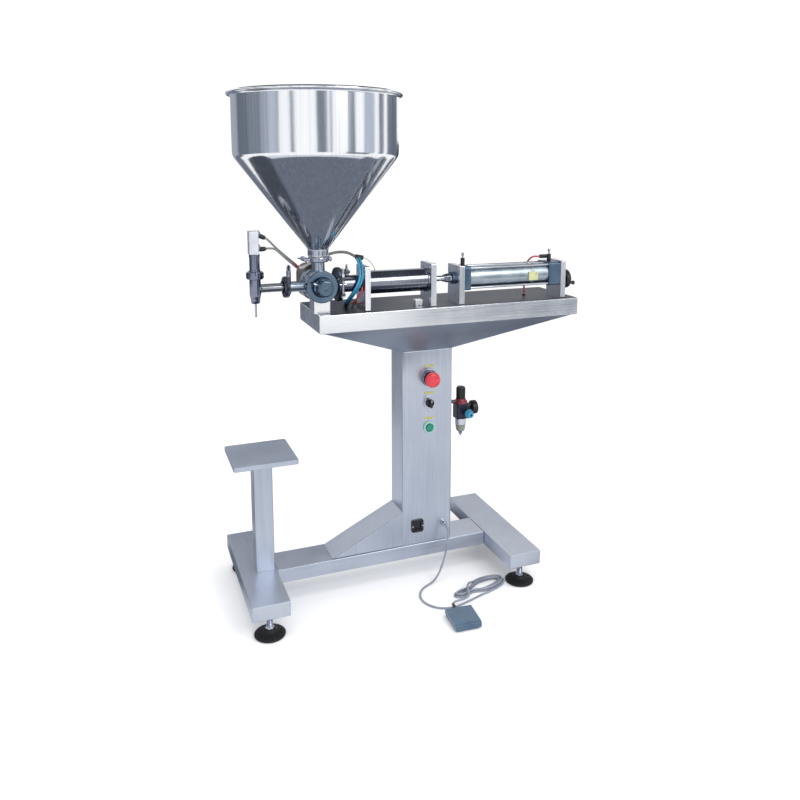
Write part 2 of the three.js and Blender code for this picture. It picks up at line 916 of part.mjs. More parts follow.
function hopper() {
  const sheet = hopperSheet;
  const slope = (hopperRadius - hopperNeckRadius) / hopperConeHeight;
  const wallShift = sheet * Math.hypot(1, slope) - sheet * slope;
  const ferruleBottom = inletNeckTop + ferruleThickness + seatGap;
  const neckBottom = ferruleBottom + hopperSpigotLength;
  const coneBottom = neckBottom + hopperNeckLength;
  const junction = coneBottom + hopperConeHeight;
  const top = junction + hopperWallHeight;
  const innerRadius = hopperRadius - sheet;
  const rimCentre = hopperRadius + hopperRimReach - hopperRimRadius;
  const rimHeight = top - hopperRimRadius;
  const blend = hopperJunctionBlend;
  const profile = [
    [hopperFerruleBore, ferruleBottom],
    [inletFerruleRadius, ferruleBottom],
    [inletFerruleRadius, ferruleBottom + ferruleThickness],
    [inletNeckRadius, ferruleBottom + ferruleThickness],
    [inletNeckRadius, neckBottom],
    [hopperNeckRadius, neckBottom],
    [hopperNeckRadius, coneBottom],
    [hopperRadius - blend * slope, junction - blend],
    [hopperRadius, junction + blend],
    [hopperRadius, rimHeight - hopperRimRadius],
    ...arc(rimCentre, rimHeight, hopperRimRadius, -Math.PI / 2, Math.PI / 2, rimSteps),
    [innerRadius, top],
    [innerRadius, junction + blend],
    [innerRadius - blend * slope, junction - blend + wallShift],
    [hopperNeckRadius - sheet, coneBottom + wallShift],
    [hopperNeckRadius - sheet, neckBottom + sheet],
    [hopperFerruleBore, neckBottom],
    [hopperFerruleBore, ferruleBottom],
  ];
  return turned(profile, "Z", largeSides).translate([hopperX, axisY, 0]);
}

// Pipe clamp about Z at the origin, its ears at -X and the bolt along Y.

function clampSizes(ferruleRadius) {
  const inner = ferruleRadius + seatGap;
  const outer = inner + clampBand;
  const half = grooveHalf + clampCheek;
  const boltX = -(outer + clampEarReach / 2);
  return { inner, outer, half, boltX, nutFace: clampSplit / 2 + clampEarThickness };
}

function pipeClamp(ferruleRadius, cheekRadius) {
  const { inner, outer, half, boltX, nutFace } = clampSizes(ferruleRadius);
  const groove = grooveHalf;
  const band = turned([
    [cheekRadius, -half],
    [outer - clampBand / 2, -half],
    [outer, -groove],
    [outer, groove],
    [outer - clampBand / 2, half],
    [cheekRadius, half],
    [inner, groove],
    [inner, -groove],
    [cheekRadius, -half],
  ]);
  const earX = -(outer + clampEarReach);
  const ears = block(earX, -(outer - clampBand / 2), -nutFace, nutFace, -groove, groove);
  const slot = clampSplit / 2;
  const reach = half + cutOverrun;
  const split = block(earX - cutOverrun, 0, -slot, slot, -reach, reach);
  const hingeX = outer + clampEarReach / 2;
  const hinge = block(outer - clampBand / 2, hingeX, -nutFace, nutFace, -groove, groove);
  const bolt = rod(clampBoltRadius, -clampBoltReach - nutFace, nutFace, "Y", pinSides);
  return joined([band, ears]).subtract(split).add(hinge).add(bolt.translate([boltX, 0, 0]));
}

function wingNut(ferruleRadius) {
  const { boltX, nutFace } = clampSizes(ferruleRadius);
  const face = -nutFace - seatGap;
  const hub = rod(wingHubRadius, face - wingHubLength, face, "Y", smallSides);
  const foot = wingFoot - face;
  const outline = polygon([
    [-wingHubRadius, foot - wingNotch],
    [wingHubRadius, foot - wingNotch],
    [wingSpan, foot + wingRise],
    [wingSpan - wingNotch, foot + wingRise + wingNotch],
    [0, foot + wingNotch],
    [wingNotch - wingSpan, foot + wingRise + wingNotch],
    [-wingSpan, foot + wingRise],
  ]);
  const wings = prism(outline, "Z", -wingThickness / 2, wingThickness / 2).rotate([180, 0, 0]);
  const low = face - wingFoot - wingRise - wingNotch - cutOverrun;
  const bore = rod(clampBoltRadius + runningGap, low, cutOverrun, "Y", pinSides);
  return hub.add(wings).subtract(bore).translate([boltX, 0, 0]);
}

const hopperJoint = inletNeckTop + ferruleThickness + seatGap / 2;

// The hopper's clamp has its nut to the back.
function atHopperJoint(piece) {
  return piece.rotate([180, 0, 0]).translate([hopperX, axisY, hopperJoint]);
}

// The outlet clamp lies across X, with its ears to the front and its bolt upright.
function atOutletJoint(piece) {
  const upright = piece.rotate([0, 0, 90]).rotate([0, -90, 0]);
  return upright.translate([outletFerruleX, axisY, axisHeight]);
}

function cylinderClamp() {
  const half = grooveHalf + clampCheek;
  const groove = grooveHalf;
  const inner = cylinderFerruleRadius + seatGap;
  const outer = inner + clampBand;
  const cheek = cylinderNeckRadius + 2 * clampCheek;
  const band = turned([
    [cheek, -half],
    [outer - clampBand / 2, -half],
    [outer, -groove],
    [outer, groove],
    [outer - clampBand / 2, half],
    [cheek, half],
    [inner, groove],
    [inner, -groove],
    [cheek, -half],
  ], "X");
  const boltY = -outer - clampBoltRadius;
  const reach = cylinderBoltReach;
  const bolt = rod(clampBoltRadius, -reach, 2 * reach, "Z", pinSides);
  const nut = rod(wingHubRadius, reach, reach + cylinderNutLength, "Z", hexSides);
  const lugFront = boltY - wingHubRadius;
  const lug = (z) => block(-groove, groove, lugFront, clampBand - inner, z, z + cylinderLug);
  const lugs = [lug(reach - cylinderLug), lug(-reach)];
  const whole = joined([band, bolt.add(nut).translate([0, boltY, 0]), ...lugs]);
  return onAxis(whole.translate([cylinderFerruleX, 0, 0]));
}

// Rotary valve

const valveFront = -valveHalfLength;
const valveBack = valveHalfLength + valveFlangeThickness;

function atValve(piece) {
  return piece.translate([hopperX, axisY, axisHeight]);
}

function valveBody() {
  const barrel = rod(valveBodyRadius, valveFront + cutOverrun, valveBack - cutOverrun, "Y");
  const frontFlange = rod(valveFlangeRadius, valveFront, valveFront + valveFlangeThickness, "Y");
  const rearFlange = rod(valveFlangeRadius, valveHalfLength, valveBack, "Y");
  const inlet = rod(inletNeckRadius, 0, inletNeckRise, "Z", smallSides);
  const inletTop = inletNeckRise + ferruleThickness;
  const inletFerrule = rod(inletFerruleRadius, inletNeckRise, inletTop);
  const outletEnd = outletFerruleX - hopperX + seatGap / 2;
  const outlet = rod(outletNeckRadius, outletEnd, 0, "X", smallSides);
  const outletFerrule = rod(outletFerruleRadius, outletEnd, outletEnd + ferruleThickness, "X");
  const cylinderEnd = cylinderFerruleX - hopperX - seatGap / 2;
  const cylinderNeck = rod(cylinderNeckRadius, 0, cylinderEnd, "X");
  const cylinderFerrule = rod(cylinderFerruleRadius, cylinderEnd - ferruleThickness, cylinderEnd, "X");
  const footDepth = valveFootDepth / 2;
  const footLow = trayTop + seatGap - axisHeight;
  const foot = prism(roundedRectangle(valveFootWidth, -footLow, plateCorner), "Y", -footDepth, footDepth);
  const solidBody = joined([
    barrel,
    frontFlange,
    rearFlange,
    inlet,
    inletFerrule,
    outlet,
    outletFerrule,
    cylinderNeck,
    cylinderFerrule,
    foot.translate([0, 0, footLow / 2]),
  ]);
  return atValve(cut(solidBody, [
    rod(valveBoreRadius, valveFront - cutOverrun, valveHalfLength, "Y"),
    rod(shaftRadius + runningGap, 0, valveBack + cutOverrun, "Y", smallSides),
    rod(portRadius, 0, inletTop + cutOverrun, "Z", smallSides),
    rod(portRadius, outletEnd - cutOverrun, 0, "X", smallSides),
    rod(portRadius, 0, cylinderEnd + cutOverrun, "X", smallSides),
  ]));
}

function valveCover() {
  const high = valveFront - seatGap;
  const low = high - valveCoverThickness;
  const bore = bossRadius + runningGap;
  return atValve(turned([
    [bore, low],
    [valveFlangeRadius - edgeBreak, low],
    [valveFlangeRadius, low + edgeBreak],
    [valveFlangeRadius, high],
    [bore, high],
    [bore, low],
  ], "Y", largeSides));
}

// The rotor's tee passage joins the cylinder to the hopper, and to the outlet a quarter turn on.
function valveRotor() {
  const core = valveBoreRadius - runningGap;
  const bossFace = valveFront - seatGap - valveCoverThickness - bossReach;
  const body = turned([
    [0, bossFace],
    [bossRadius - edgeBreak, bossFace],
    [bossRadius, bossFace + edgeBreak],
    [bossRadius, valveFront + valveStep],
    [core, valveFront + valveStep],
    [core, valveHalfLength - seatGap],
    [shaftRadius, valveHalfLength - seatGap],
    [shaftRadius, valveBack + shaftReach],
    [0, valveBack + shaftReach],
  ], "Y");
  const reach = valveBoreRadius + cutOverrun;
  const upright = rod(portRadius, -reach, reach, "Z", smallSides);
  const side = rod(portRadius, 0, reach, "X", smallSides);
  return atValve(cut(body, [upright, side]));
}

function valveActuator() {
  const low = valveBack + seatGap;
  const outline = roundedRectangle(actuatorWidth, actuatorHeight, actuatorCorner);
  const housing = prism(outline, "Y", low, low + actuatorDepth);
  const end = valveBack + shaftReach + seatGap;
  const socket = rod(shaftRadius + runningGap, low - cutOverrun, end, "Y", smallSides);
  return atValve(housing.subtract(socket));
}

// Nozzle

function atNozzle(piece) {
  return piece.translate([nozzleX, axisY, 0]);
}

function nozzleBody() {
  const top = nozzleJoint - seatGap / 2;
  const rounding = nozzleRounding;
  const outer = turned([
    [0, nozzleBottom],
    ...arc(nozzleEndRadius - rounding, nozzleBottom + rounding, rounding, -Math.PI / 2, 0, cornerSteps),
    [nozzleRadius, axisHeight - outletPipeRadius],
    [nozzleRadius, top - ferruleThickness],
    [nozzleFerruleRadius, top - ferruleThickness],
    [nozzleFerruleRadius, top],
    [0, top],
  ]);
  const pipeEnd = outletFerruleX - seatGap / 2 - nozzleX;
  const pipe = rod(outletPipeRadius, 0, pipeEnd, "X", smallSides);
  const ferrule = rod(outletFerruleRadius, pipeEnd - ferruleThickness, pipeEnd, "X");
  const pipeBore = rod(outletPipeBore, 0, pipeEnd + cutOverrun, "X", smallSides);
  const side = joined([pipe, ferrule]).translate([0, 0, axisHeight]);
  const floor = nozzleBottom + nozzleFloor;
  const bore = turned([
    [0, floor],
    [needleRadius, floor],
    [nozzleBore, floor + needleSeat],
    [nozzleBore, top + cutOverrun],
    [0, top + cutOverrun],
  ], "Z", smallSides);
  const outlet = rod(tipBore, nozzleBottom - cutOverrun, floor + cutOverrun, "Z", pinSides);
  const socketTop = nozzleBottom + tipSocket + seatGap;
  const socket = rod(tipRadius + seatGap, nozzleBottom - cutOverrun, socketTop, "Z", pinSides);
  const bores = [bore, pipeBore.translate([0, 0, axisHeight]), outlet, socket];
  return atNozzle(cut(outer.add(side), bores));
}

function nozzleTip() {
  return atNozzle(ring(tipRadius, tipBore, nozzleBottom - tipReach, nozzleBottom + tipSocket, "Z", pinSides));
}

function nozzleClamp() {
  const half = nozzleClampHeight / 2;
  const groove = grooveHalf;
  const cheek = nozzleRadius + seatGap;
  const inner = nozzleFerruleRadius + seatGap;
  const edge = clampCheek;
  return atNozzle(turned([
    [cheek, nozzleJoint - half],
    [nozzleClampRadius - edge, nozzleJoint - half],
    [nozzleClampRadius, nozzleJoint - half + edge],
    [nozzleClampRadius, nozzleJoint + half - edge],
    [nozzleClampRadius - edge, nozzleJoint + half],
    [cheek, nozzleJoint + half],
    [cheek, nozzleJoint + groove],
    [inner, nozzleJoint + groove],
    [inner, nozzleJoint - groove],
    [cheek, nozzleJoint - groove],
    [cheek, nozzleJoint - half],
  ]));
}

function nozzleYoke() {
  const low = nozzleJoint + seatGap / 2;
  const shoulder = nozzleJoint + nozzleClampHeight / 2 + seatGap;
  const lowPlate = turned([
    [0, low],
    [nozzleFerruleRadius, low],
    [nozzleFerruleRadius, low + ferruleThickness],
    [yokeRadius, low + ferruleThickness],
    [yokeRadius, shoulder + yokePlate],
    [0, shoulder + yokePlate],
  ]);
  const topPlate = rod(yokeRadius, yokeTop - yokePlate, yokeTop);
  const bar = block(
    yokeRadius - yokeBarThickness - cutOverrun,
    yokeRadius - cutOverrun,
    -yokeBarDepth / 2,
    yokeBarDepth / 2,
    shoulder,
    yokeTop - cutOverrun,
  );
  const whole = joined([lowPlate, topPlate, bar, bar.mirror([1, 0, 0])]);
  const bore = rod(needleRadius + runningGap, low - cutOverrun, yokeTop + cutOverrun, "Z", pinSides);
  return atNozzle(whole.subtract(bore));
}

const blockLow = yokeTop + seatGap;
const blockHigh = blockLow + actuatorBlockHeight;
const blockBore = (actuatorBlockWidth - 2 * actuatorBlockWall) / 2;

function nozzleFitting(height) {
  const start = actuatorBlockWidth / 2;
  return turned([
    [0, start - cutOverrun],
    [nozzleFittingNeck, start - cutOverrun],
    [nozzleFittingNeck, start + nozzleFittingStub],
    [nozzleFittingRadius, start + nozzleFittingStub],
    [nozzleFittingRadius, start + nozzleFittingReach],
    [0, start + nozzleFittingReach],
  ], "X", smallSides).translate([0, 0, height]);
}

const fittingHeights = [blockLow + nozzleFittingInset, blockHigh - nozzleFittingInset];

function nozzleCylinder() {
  const outline = roundedRectangle(actuatorBlockWidth, actuatorBlockDepth, actuatorBlockCorner);
  const body = prism(outline, "Z", blockLow, blockHigh);
  const bore = rod(blockBore, blockLow + actuatorBlockWall, blockHigh - actuatorBlockWall, "Z", smallSides);
  const guideTop = blockLow + 2 * actuatorBlockWall;
  const guide = rod(needleRadius + runningGap, blockLow - cutOverrun, guideTop, "Z", pinSides);
  return atNozzle(cut(joined([body, ...fittingHeights.map(nozzleFitting)]), [bore, guide]));
}

// Closed at rest, lifted to open.
function nozzleNeedle() {
  const seat = nozzleBottom + nozzleFloor + 2 * seatGap;
  const head = nozzleBore - runningGap;
  const pistonLow = blockLow + 2 * actuatorBlockWall;
  return atNozzle(turned([
    [0, seat],
    [needleRadius - seatGap, seat],
    [head, seat + needleSeat],
    [head, seat + needleHeadLength],
    [needleRadius, seat + needleHeadLength],
    [needleRadius, pistonLow],
    [blockBore - runningGap, pistonLow],
    [blockBore - runningGap, pistonLow + needlePistonLength],
    [0, pistonLow + needlePistonLength],
  ], "Z", smallSides));
}

// Controls

function onPanel(piece, z) {
  return piece.translate([controlX, columnFront, z]);
}

function stopCollar() {
  const bore = stopStemRadius + runningGap;
  return onPanel(turned([
    [bore, panelBarrelLength],
    [barrelHoleRadius, panelBarrelLength],
    [barrelHoleRadius, -seatGap],
    [stopCollarRadius, -seatGap],
    [stopCollarRadius - stopEdge, -stopCollarLength],
    [bore, -stopCollarLength],
    [bore, panelBarrelLength],
  ], "Y"), stopZ);
}

function stopButton() {
  const back = -stopCollarLength - stopStandoff;
  const face = back - stopHeadLength;
  const stemEnd = panelBarrelLength - stopTravel - stopEdge;
  return onPanel(turned([
    [0, face],
    [stopHeadRadius - stopEdge, face],
    [stopHeadRadius, face + stopEdge],
    [stopHeadRadius, back - stopEdge],
    [stopStemRadius + stopEdge, back],
    [stopStemRadius, back],
    [stopStemRadius, stemEnd],
    [0, stemEnd],
  ], "Y"), stopZ);
}

function selectorKnob() {
  const base = turned([
    [0, -selectorLength],
    [selectorRadius - edgeBreak, -selectorLength],
    [selectorRadius, edgeBreak - selectorLength],
    [selectorRadius, -seatGap],
    [barrelHoleRadius, -seatGap],
    [barrelHoleRadius, panelBarrelLength],
    [0, panelBarrelLength],
  ], "Y", smallSides);
  const half = selectorBar / 2;
  const tip = -selectorLength - selectorBarLength;
  const root = cutOverrun - selectorLength;
  const bar = block(-half, half, tip, root, -selectorRadius, selectorRadius);
  return onPanel(base.add(bar), selectorZ);
}

function startBezel() {
  const bore = startButtonRadius - 2 * edgeBreak + runningGap;
  return onPanel(turned([
    [bore, -startBezelLength + edgeBreak],
    [startButtonRadius + runningGap, -startBezelLength + edgeBreak],
    [startButtonRadius + runningGap, -startBezelLength],
    [startBezelRadius - edgeBreak, -startBezelLength],
    [startBezelRadius, edgeBreak - startBezelLength],
    [startBezelRadius, -seatGap],
    [barrelHoleRadius, -seatGap],
    [barrelHoleRadius, panelBarrelLength],
    [bore, panelBarrelLength],
    [bore, -startBezelLength + edgeBreak],
  ], "Y", smallSides), startZ);
}

function startButton() {
  const seat = -startBezelLength - startTravel;
  return onPanel(turned([
    [0, seat - startButtonReach],
    [startButtonRadius - edgeBreak, seat - startButtonReach],
    [startButtonRadius, seat - startButtonReach + edgeBreak],
    [startButtonRadius, seat],
    [startButtonRadius - 2 * edgeBreak, seat],
    [startButtonRadius - 2 * edgeBreak, panelBarrelLength - startTravel],
    [0, panelBarrelLength - startTravel],
  ], "Y", smallSides), startZ);
}

function powerInlet() {
  const outline = roundedRectangle(inletWidth, inletTall, plateCorner);
  const flange = prism(outline, "Y", -inletReach, -seatGap);
  const bodyWidth = inletRecessWidth + 2 * (beamWall - seatGap);
  const bodyTall = inletRecessTall + 2 * (beamWall - seatGap);
  const bodyOutline = roundedRectangle(bodyWidth, bodyTall, beamWall);
  const body = prism(bodyOutline, "Y", -seatGap - cutOverrun, inletBodyDepth);
  const mouth = roundedRectangle(inletRecessWidth, inletRecessTall, beamWall);
  const recess = prism(mouth, "Y", -inletReach - cutOverrun, inletRecessDepth);
  return flange.add(body).subtract(recess).translate([inletX, columnFront, inletHeight]);
}

const glandExit = columnFront - glandNutLength - glandDomeLength;

function cableGland() {
  return turned([
    [0, glandExit - columnFront],
    [cordDiameter / 2 + glandLip, glandExit - columnFront],
    [glandRadius - edgeBreak, -glandNutLength],
    [glandRadius, -glandNutLength],
    [glandRadius, -seatGap],
    [glandThreadRadius, -seatGap],
    [glandThreadRadius, panelBarrelLength / 2],
    [0, panelBarrelLength / 2],
  ], "Y", smallSides).translate([glandX, columnFront, glandHeight]);
}

// Filter regulator

function atRegulator(piece) {
  return piece.translate([regulatorX, regulatorY, 0]);
}

const ringTop = regulatorTop + regulatorRingHeight;

function regulatorBody() {
  const side = columnWidth / 2 + seatGap;
  const half = regulatorWidth / 2;
  const outline = roundedRectangle(regulatorWidth, regulatorWidth, regulatorCorner);
  const body = prism(outline, "Z", regulatorBottom, regulatorTop);
  const collar = turned([
    [0, regulatorTop - cutOverrun],
    [regulatorRingRadius, regulatorTop - cutOverrun],
    [regulatorRingRadius, regulatorTop + regulatorRingHeight / 2],
    [regulatorKnobRadius, ringTop],
    [regulatorStemRadius, ringTop],
    [regulatorStemRadius, ringTop + regulatorKnobHeight / 2],
    [0, ringTop + regulatorKnobHeight / 2],
  ]);
  const armHeight = (regulatorTop + regulatorBottom) / 2;
  const arm = block(
    side - regulatorX,
    cutOverrun - half,
    -regulatorStemRadius * 2,
    regulatorStemRadius * 2,
    armHeight,
    regulatorTop,
  );
  const wallPlate = block(
    side - regulatorX,
    side - regulatorX + regulatorBracketSheet,
    -regulatorBracketDepth / 2,
    regulatorBracketDepth / 2,
    regulatorTop - regulatorBracketHeight / 2,
    regulatorTop + regulatorBracketHeight / 2,
  );
  const port = rod(portFittingRadius, -half - portFittingReach, -half + cutOverrun, "Y", smallSides);
  return atRegulator(joined([
    body,
    collar,
    arm,
    wallPlate,
    port.translate([portFittingShift, 0, regulatorTop - portFittingDrop]),
  ]));
}

function regulatorKnob() {
  const low = ringTop + seatGap;
  const high = ringTop + regulatorKnobHeight;
  const bore = regulatorStemRadius + runningGap;
  const boreTop = ringTop + regulatorKnobHeight / 2 + runningGap;
  return atRegulator(turned([
    [bore, low],
    [regulatorKnobRadius, low],
    [regulatorKnobRadius, high - edgeBreak],
    [regulatorKnobRadius - edgeBreak, high],
    [0, high],
    [0, boreTop],
    [bore, boreTop],
    [bore, low],
  ], "Z", smallSides));
}

function regulatorBowl() {
  const top = regulatorBottom - seatGap;
  const low = top - bowlHeight;
  const waist = low + bowlHeight / 2;
  const inner = bowlRadius - bowlWall;
  return atRegulator(turned([
    [0, low - drainReach],
    [drainRadius / 2, low - drainReach],
    [drainRadius, low - drainReach / 2],
    [drainRadius, low],
    [bowlRadius - 2 * bowlTaper, low],
    [bowlRadius - bowlTaper, low + bowlTaper],
    [bowlRadius, waist],
    [bowlRadius, top],
    [inner, top],
    [inner, waist],
    [inner - bowlTaper, low + bowlTaper],
    [0, low + bowlTaper],
  ], "Z", smallSides));
}

function pressureGauge() {
  const start = regulatorWidth / 2 + seatGap;
  const dialBack = start + gaugeStemLength;
  const dialFace = dialBack + gaugeLength;
  const z = regulatorTop - gaugeDrop;
  return atRegulator(turned([
    [0, start],
    [gaugeStemRadius, start],
    [gaugeStemRadius, dialBack],
    [gaugeRadius - clampCheek, dialBack],
    [gaugeRadius, dialBack + clampCheek],
    [gaugeRadius, dialFace],
    [gaugeRadius - edgeBreak, dialFace],
    [gaugeRadius - edgeBreak, dialFace - edgeBreak],
    [0, dialFace - edgeBreak],
  ], "X").translate([0, 0, z]));
}

// Foot switch, drawn at the origin with its heel at +Y

function atPedal(piece) {
  return piece.rotate([0, 0, pedalTurnDegrees]).translate([pedalX, pedalY, 0]);
}

const hingeY = pedalLength / 2 - hingeInset;

function pedalBase() {
  const inset = 2 * (pedalWall + seatGap);
  const foot = prism(roundedRectangle(pedalWidth, pedalLength, pedalCorner), "Z", 0, pedalBaseHeight / 2);
  const step = prism(
    roundedRectangle(pedalWidth - 2 * inset, pedalLength - 2 * inset, pedalCorner - pedalWall),
    "Z",
    0,
    pedalBaseHeight,
  );
  const hollow = block(
    pedalWall * 2 + inset - pedalWidth / 2,
    pedalWidth / 2 - pedalWall * 2 - inset,
    pedalWall * 2 + inset - pedalLength / 2,
    hingeY - hingeEarDepth,
    pedalWall,
    pedalHeight,
  );
  const earHeight = hingeHeight + hingeRadius + seatGap;
  const ear = block(
    -hingeEarWidth / 2,
    hingeEarWidth / 2,
    hingeY - hingeEarDepth / 2,
    hingeY + hingeEarDepth / 2,
    pedalBaseHeight / 2,
    earHeight,
  );
  const bushLow = pedalLength / 2 - inset - cutOverrun;
  const bush = rod(cableBushRadius, bushLow, pedalLength / 2 + cableBushReach, "Y", smallSides);
  const whole = joined([foot, step, ear, bush.translate([0, 0, cableHeight])]);
  const pinBore = rod(hingeRadius + runningGap, -pedalWidth, pedalWidth, "X", smallSides);
  return atPedal(cut(whole, [hollow, pinBore.translate([0, hingeY, hingeHeight])]));
}

function pedalTreadle() {
  const low = pedalBaseHeight / 2 + treadleClearance;
  const half = pedalLength / 2;
  const side = polygon([
    [-half, low],
    [half, low],
    [half, pedalHeight - edgeBreak],
    [half - edgeBreak, pedalHeight],
    [edgeBreak - half, pedalHeight - treadleFrontDrop],
    [-half, pedalHeight - treadleFrontDrop - edgeBreak],
  ]);
  const slab = prism(side, "X", -pedalWidth / 2, pedalWidth / 2);
  const footprint = roundedRectangle(pedalWidth, pedalLength, pedalCorner);
  const outline = prism(footprint, "Z", 0, pedalHeight + cutOverrun);
  const hollow = prism(
    roundedRectangle(pedalWidth - 2 * pedalWall, pedalLength - 2 * pedalWall, pedalCorner - pedalWall),
    "Z",
    0,
    pedalHeight - treadleFrontDrop - pedalWall,
  );
  const notch = rod(
    cableBushRadius + treadleClearance,
    half - 2 * pedalWall,
    half + cutOverrun,
    "Y",
    smallSides,
  ).translate([0, 0, cableHeight]);
  const pin = rod(hingeRadius, -pedalWidth / 2 + pedalWall, pedalWidth / 2 - pedalWall, "X", smallSides);
  const shell = cut(slab.intersect(outline), [hollow, notch]);
  return atPedal(shell.add(pin.translate([0, hingeY, hingeHeight])));
}

// Foot switch cord: its free stretch, then the hank whose end runs into the pedal

const cordRadius = cordDiameter / 2;
const cordLow = cordRadius + floorGap;

function circle(radius, sides) {
  const points = [];
  for (let i = 0; i < sides; i += 1) {
    const angle = (i / sides) * 2 * Math.PI;
    points.push(new THREE.Vector2(radius * Math.cos(angle), radius * Math.sin(angle)));
  }
  return new THREE.Shape(points);
}

function hoseAlong(points, radius, steps = hoseSteps, sides = hoseSides) {
  const extrudePath = new THREE.CatmullRomCurve3(points, false, "centripetal");
  return solid(new THREE.ExtrudeGeometry(circle(radius, sides), { steps, extrudePath, bevelEnabled: false }));
}

// Half width of the hank at a place along it, drawn in at the waist.
function hankWidth(along) {
  const rightShare = (along + hankHalfLength) / (2 * hankHalfLength);
  const lobe = hankLeftWidth + (hankRightWidth - hankLeftWidth) * rightShare;
  return lobe - hankWaistDepth * Math.exp(-(((along - hankWaist) / hankWaistReach) ** 2));
}

// The hank's centre line: it spirals in over the first half, climbs a layer, and spirals out again.
function hankPoint(turn) {
  const half = hankLoops / 2;
  const inward = (turn < half ? turn : hankLoops - turn) * hankPitch;
  const angle = (hankStartShare + turn) * 2 * Math.PI;
  const along = (hankHalfLength - inward) * Math.cos(angle);
  const across = (hankWidth(along) - inward) * Math.sin(angle);
  const climb = THREE.MathUtils.smoothstep(turn, half - hankClimbShare, half + hankClimbShare);
  const layer = cordDiameter + 2 * floorGap + seatGap;
  return hankPlace(along, across, cordLow + climb * layer);
}

function hankPlace(along, across, height) {
  const point = new THREE.Vector3(along, across, height);
  point.applyAxisAngle(new THREE.Vector3(0, 0, 1), THREE.MathUtils.degToRad(hankTurnDegrees));
  return point.add(new THREE.Vector3(hankX, hankY, 0));
}

function pedalCablePoint(reach) {
  const point = new THREE.Vector3(0, pedalLength / 2 + cableBushReach + reach, cableHeight);
  point.applyAxisAngle(new THREE.Vector3(0, 0, 1), THREE.MathUtils.degToRad(pedalTurnDegrees));
  return point.add(new THREE.Vector3(pedalX, pedalY, 0));
}

// The points of the whole hank, with its straight ends and the run into the pedal.
function hankLine() {
  const loops = hankLoops - (hankStartShare - hankEndShare);
  const count = Math.round(loops * hankStepsPerLoop);
  const line = [];
  for (let i = 0; i <= count; i += 1) line.push(hankPoint((loops * i) / count));
  const heading = line[0].clone().sub(line[1]).normalize();
  line.unshift(line[0].clone().addScaledVector(heading, cordDiameter));
  const tail = new THREE.CatmullRomCurve3([
    line[line.length - 2],
    line[line.length - 1],
    ...hankTail.map(([along, across, height]) => hankPlace(along, across, height)),
    pedalCablePoint(4 * cordDiameter),
    pedalCablePoint(cordDiameter),
    pedalCablePoint(seatGap),
  ], false, "centripetal");
  const points = tail.getSpacedPoints(hankTailSteps).slice(2);
  line.push(...points);
  return line;
}

// Sweeps an unbroken tube whose rings stand square to a line of points.
function tubeThrough(line, radius, sides) {
  const up = new THREE.Vector3(0, 0, 1);
  const positions = [];
  const corners = [];
  line.forEach((point, i) => {
    const before = line[Math.max(i - 1, 0)];
    const after = line[Math.min(i + 1, line.length - 1)];
    const along = after.clone().sub(before).normalize();
    const side = along.clone().cross(up).normalize();
    const rise = side.clone().cross(along);
    for (let k = 0; k < sides; k += 1) {
      const angle = (k / sides) * 2 * Math.PI;
      const rim = point.clone().addScaledVector(side, radius * Math.cos(angle));
      positions.push(...rim.addScaledVector(rise, radius * Math.sin(angle)));
    }
  });
  const last = line.length - 1;
  for (let i = 0; i < last; i += 1) {
    for (let k = 0; k < sides; k += 1) {
      const [a, b] = [i * sides + k, i * sides + ((k + 1) % sides)];
      corners.push(a, a + sides, b, b, a + sides, b + sides);
    }
  }
  for (let k = 1; k < sides - 1; k += 1) {
    corners.push(0, k, k + 1);
    corners.push(last * sides, last * sides + k + 1, last * sides + k);
  }
  const geometry = new THREE.BufferGeometry();
  geometry.setAttribute("position", new THREE.Float32BufferAttribute(positions, 3));
  geometry.setIndex(corners);
  return solid(geometry);
}

// Least gap of the hank to itself, measured between points of its centre line that lie apart along it.
function leastGap(line) {
  const fine = [];
  for (let i = 1; i < line.length; i += 1) {
    for (let k = 0; k < 4; k += 1) fine.push(line[i - 1].clone().lerp(line[i], k / 4));
  }
  const travel = [0];
  for (let i = 1; i < fine.length; i += 1) travel.push(travel[i - 1] + fine[i].distanceTo(fine[i - 1]));
  let least = Infinity;
  for (let i = 0; i < fine.length; i += 1) {
    for (let k = i + 1; k < fine.length; k += 1) {
      const apart = travel[k] - travel[i];
      if (apart > 4 * cordDiameter) least = Math.min(least, fine[i].distanceTo(fine[k]));
    }
  }
  return { gap: least - cordDiameter, length: travel[travel.length - 1] };
}

const hank = hankLine();
const hankFit = leastGap(hank);
console.log("hank: " + hankFit.gap.toFixed(2) + " mm least gap");
console.log("hank: " + hankFit.length.toFixed(0) + " mm of cord");

function footCord() {
  const exit = new THREE.Vector3(glandX, glandExit - seatGap, glandHeight);
  const points = [exit, ...cordRoute.map((point) => new THREE.Vector3(...point))];
  const heading = hank[0].clone().sub(hank[1]).normalize();
  points.push(hank[0].clone().addScaledVector(heading, cordDiameter + seatGap));
  points.push(hank[0].clone().addScaledVector(heading, seatGap));
  const path = new THREE.CatmullRomCurve3(points, false, "centripetal");
  console.log("foot cord: " + path.getLength().toFixed(0) + " mm free stretch");
  return hoseAlong(points, cordRadius, cordSteps, cordSides);
}

// Air hoses, each from a fitting to the piece that it ends on

const actuatorTop = axisHeight + actuatorHeight / 2;
const fittingEnd = nozzleX + actuatorBlockWidth / 2 + nozzleFittingReach + seatGap;

function fromAxis([x, y, rise]) {
  return [x, y, axisHeight + rise];
}

function hose(route, steps = hoseSteps) {
  return hoseAlong(route.map((point) => new THREE.Vector3(...point)), hoseRadius, steps);
}

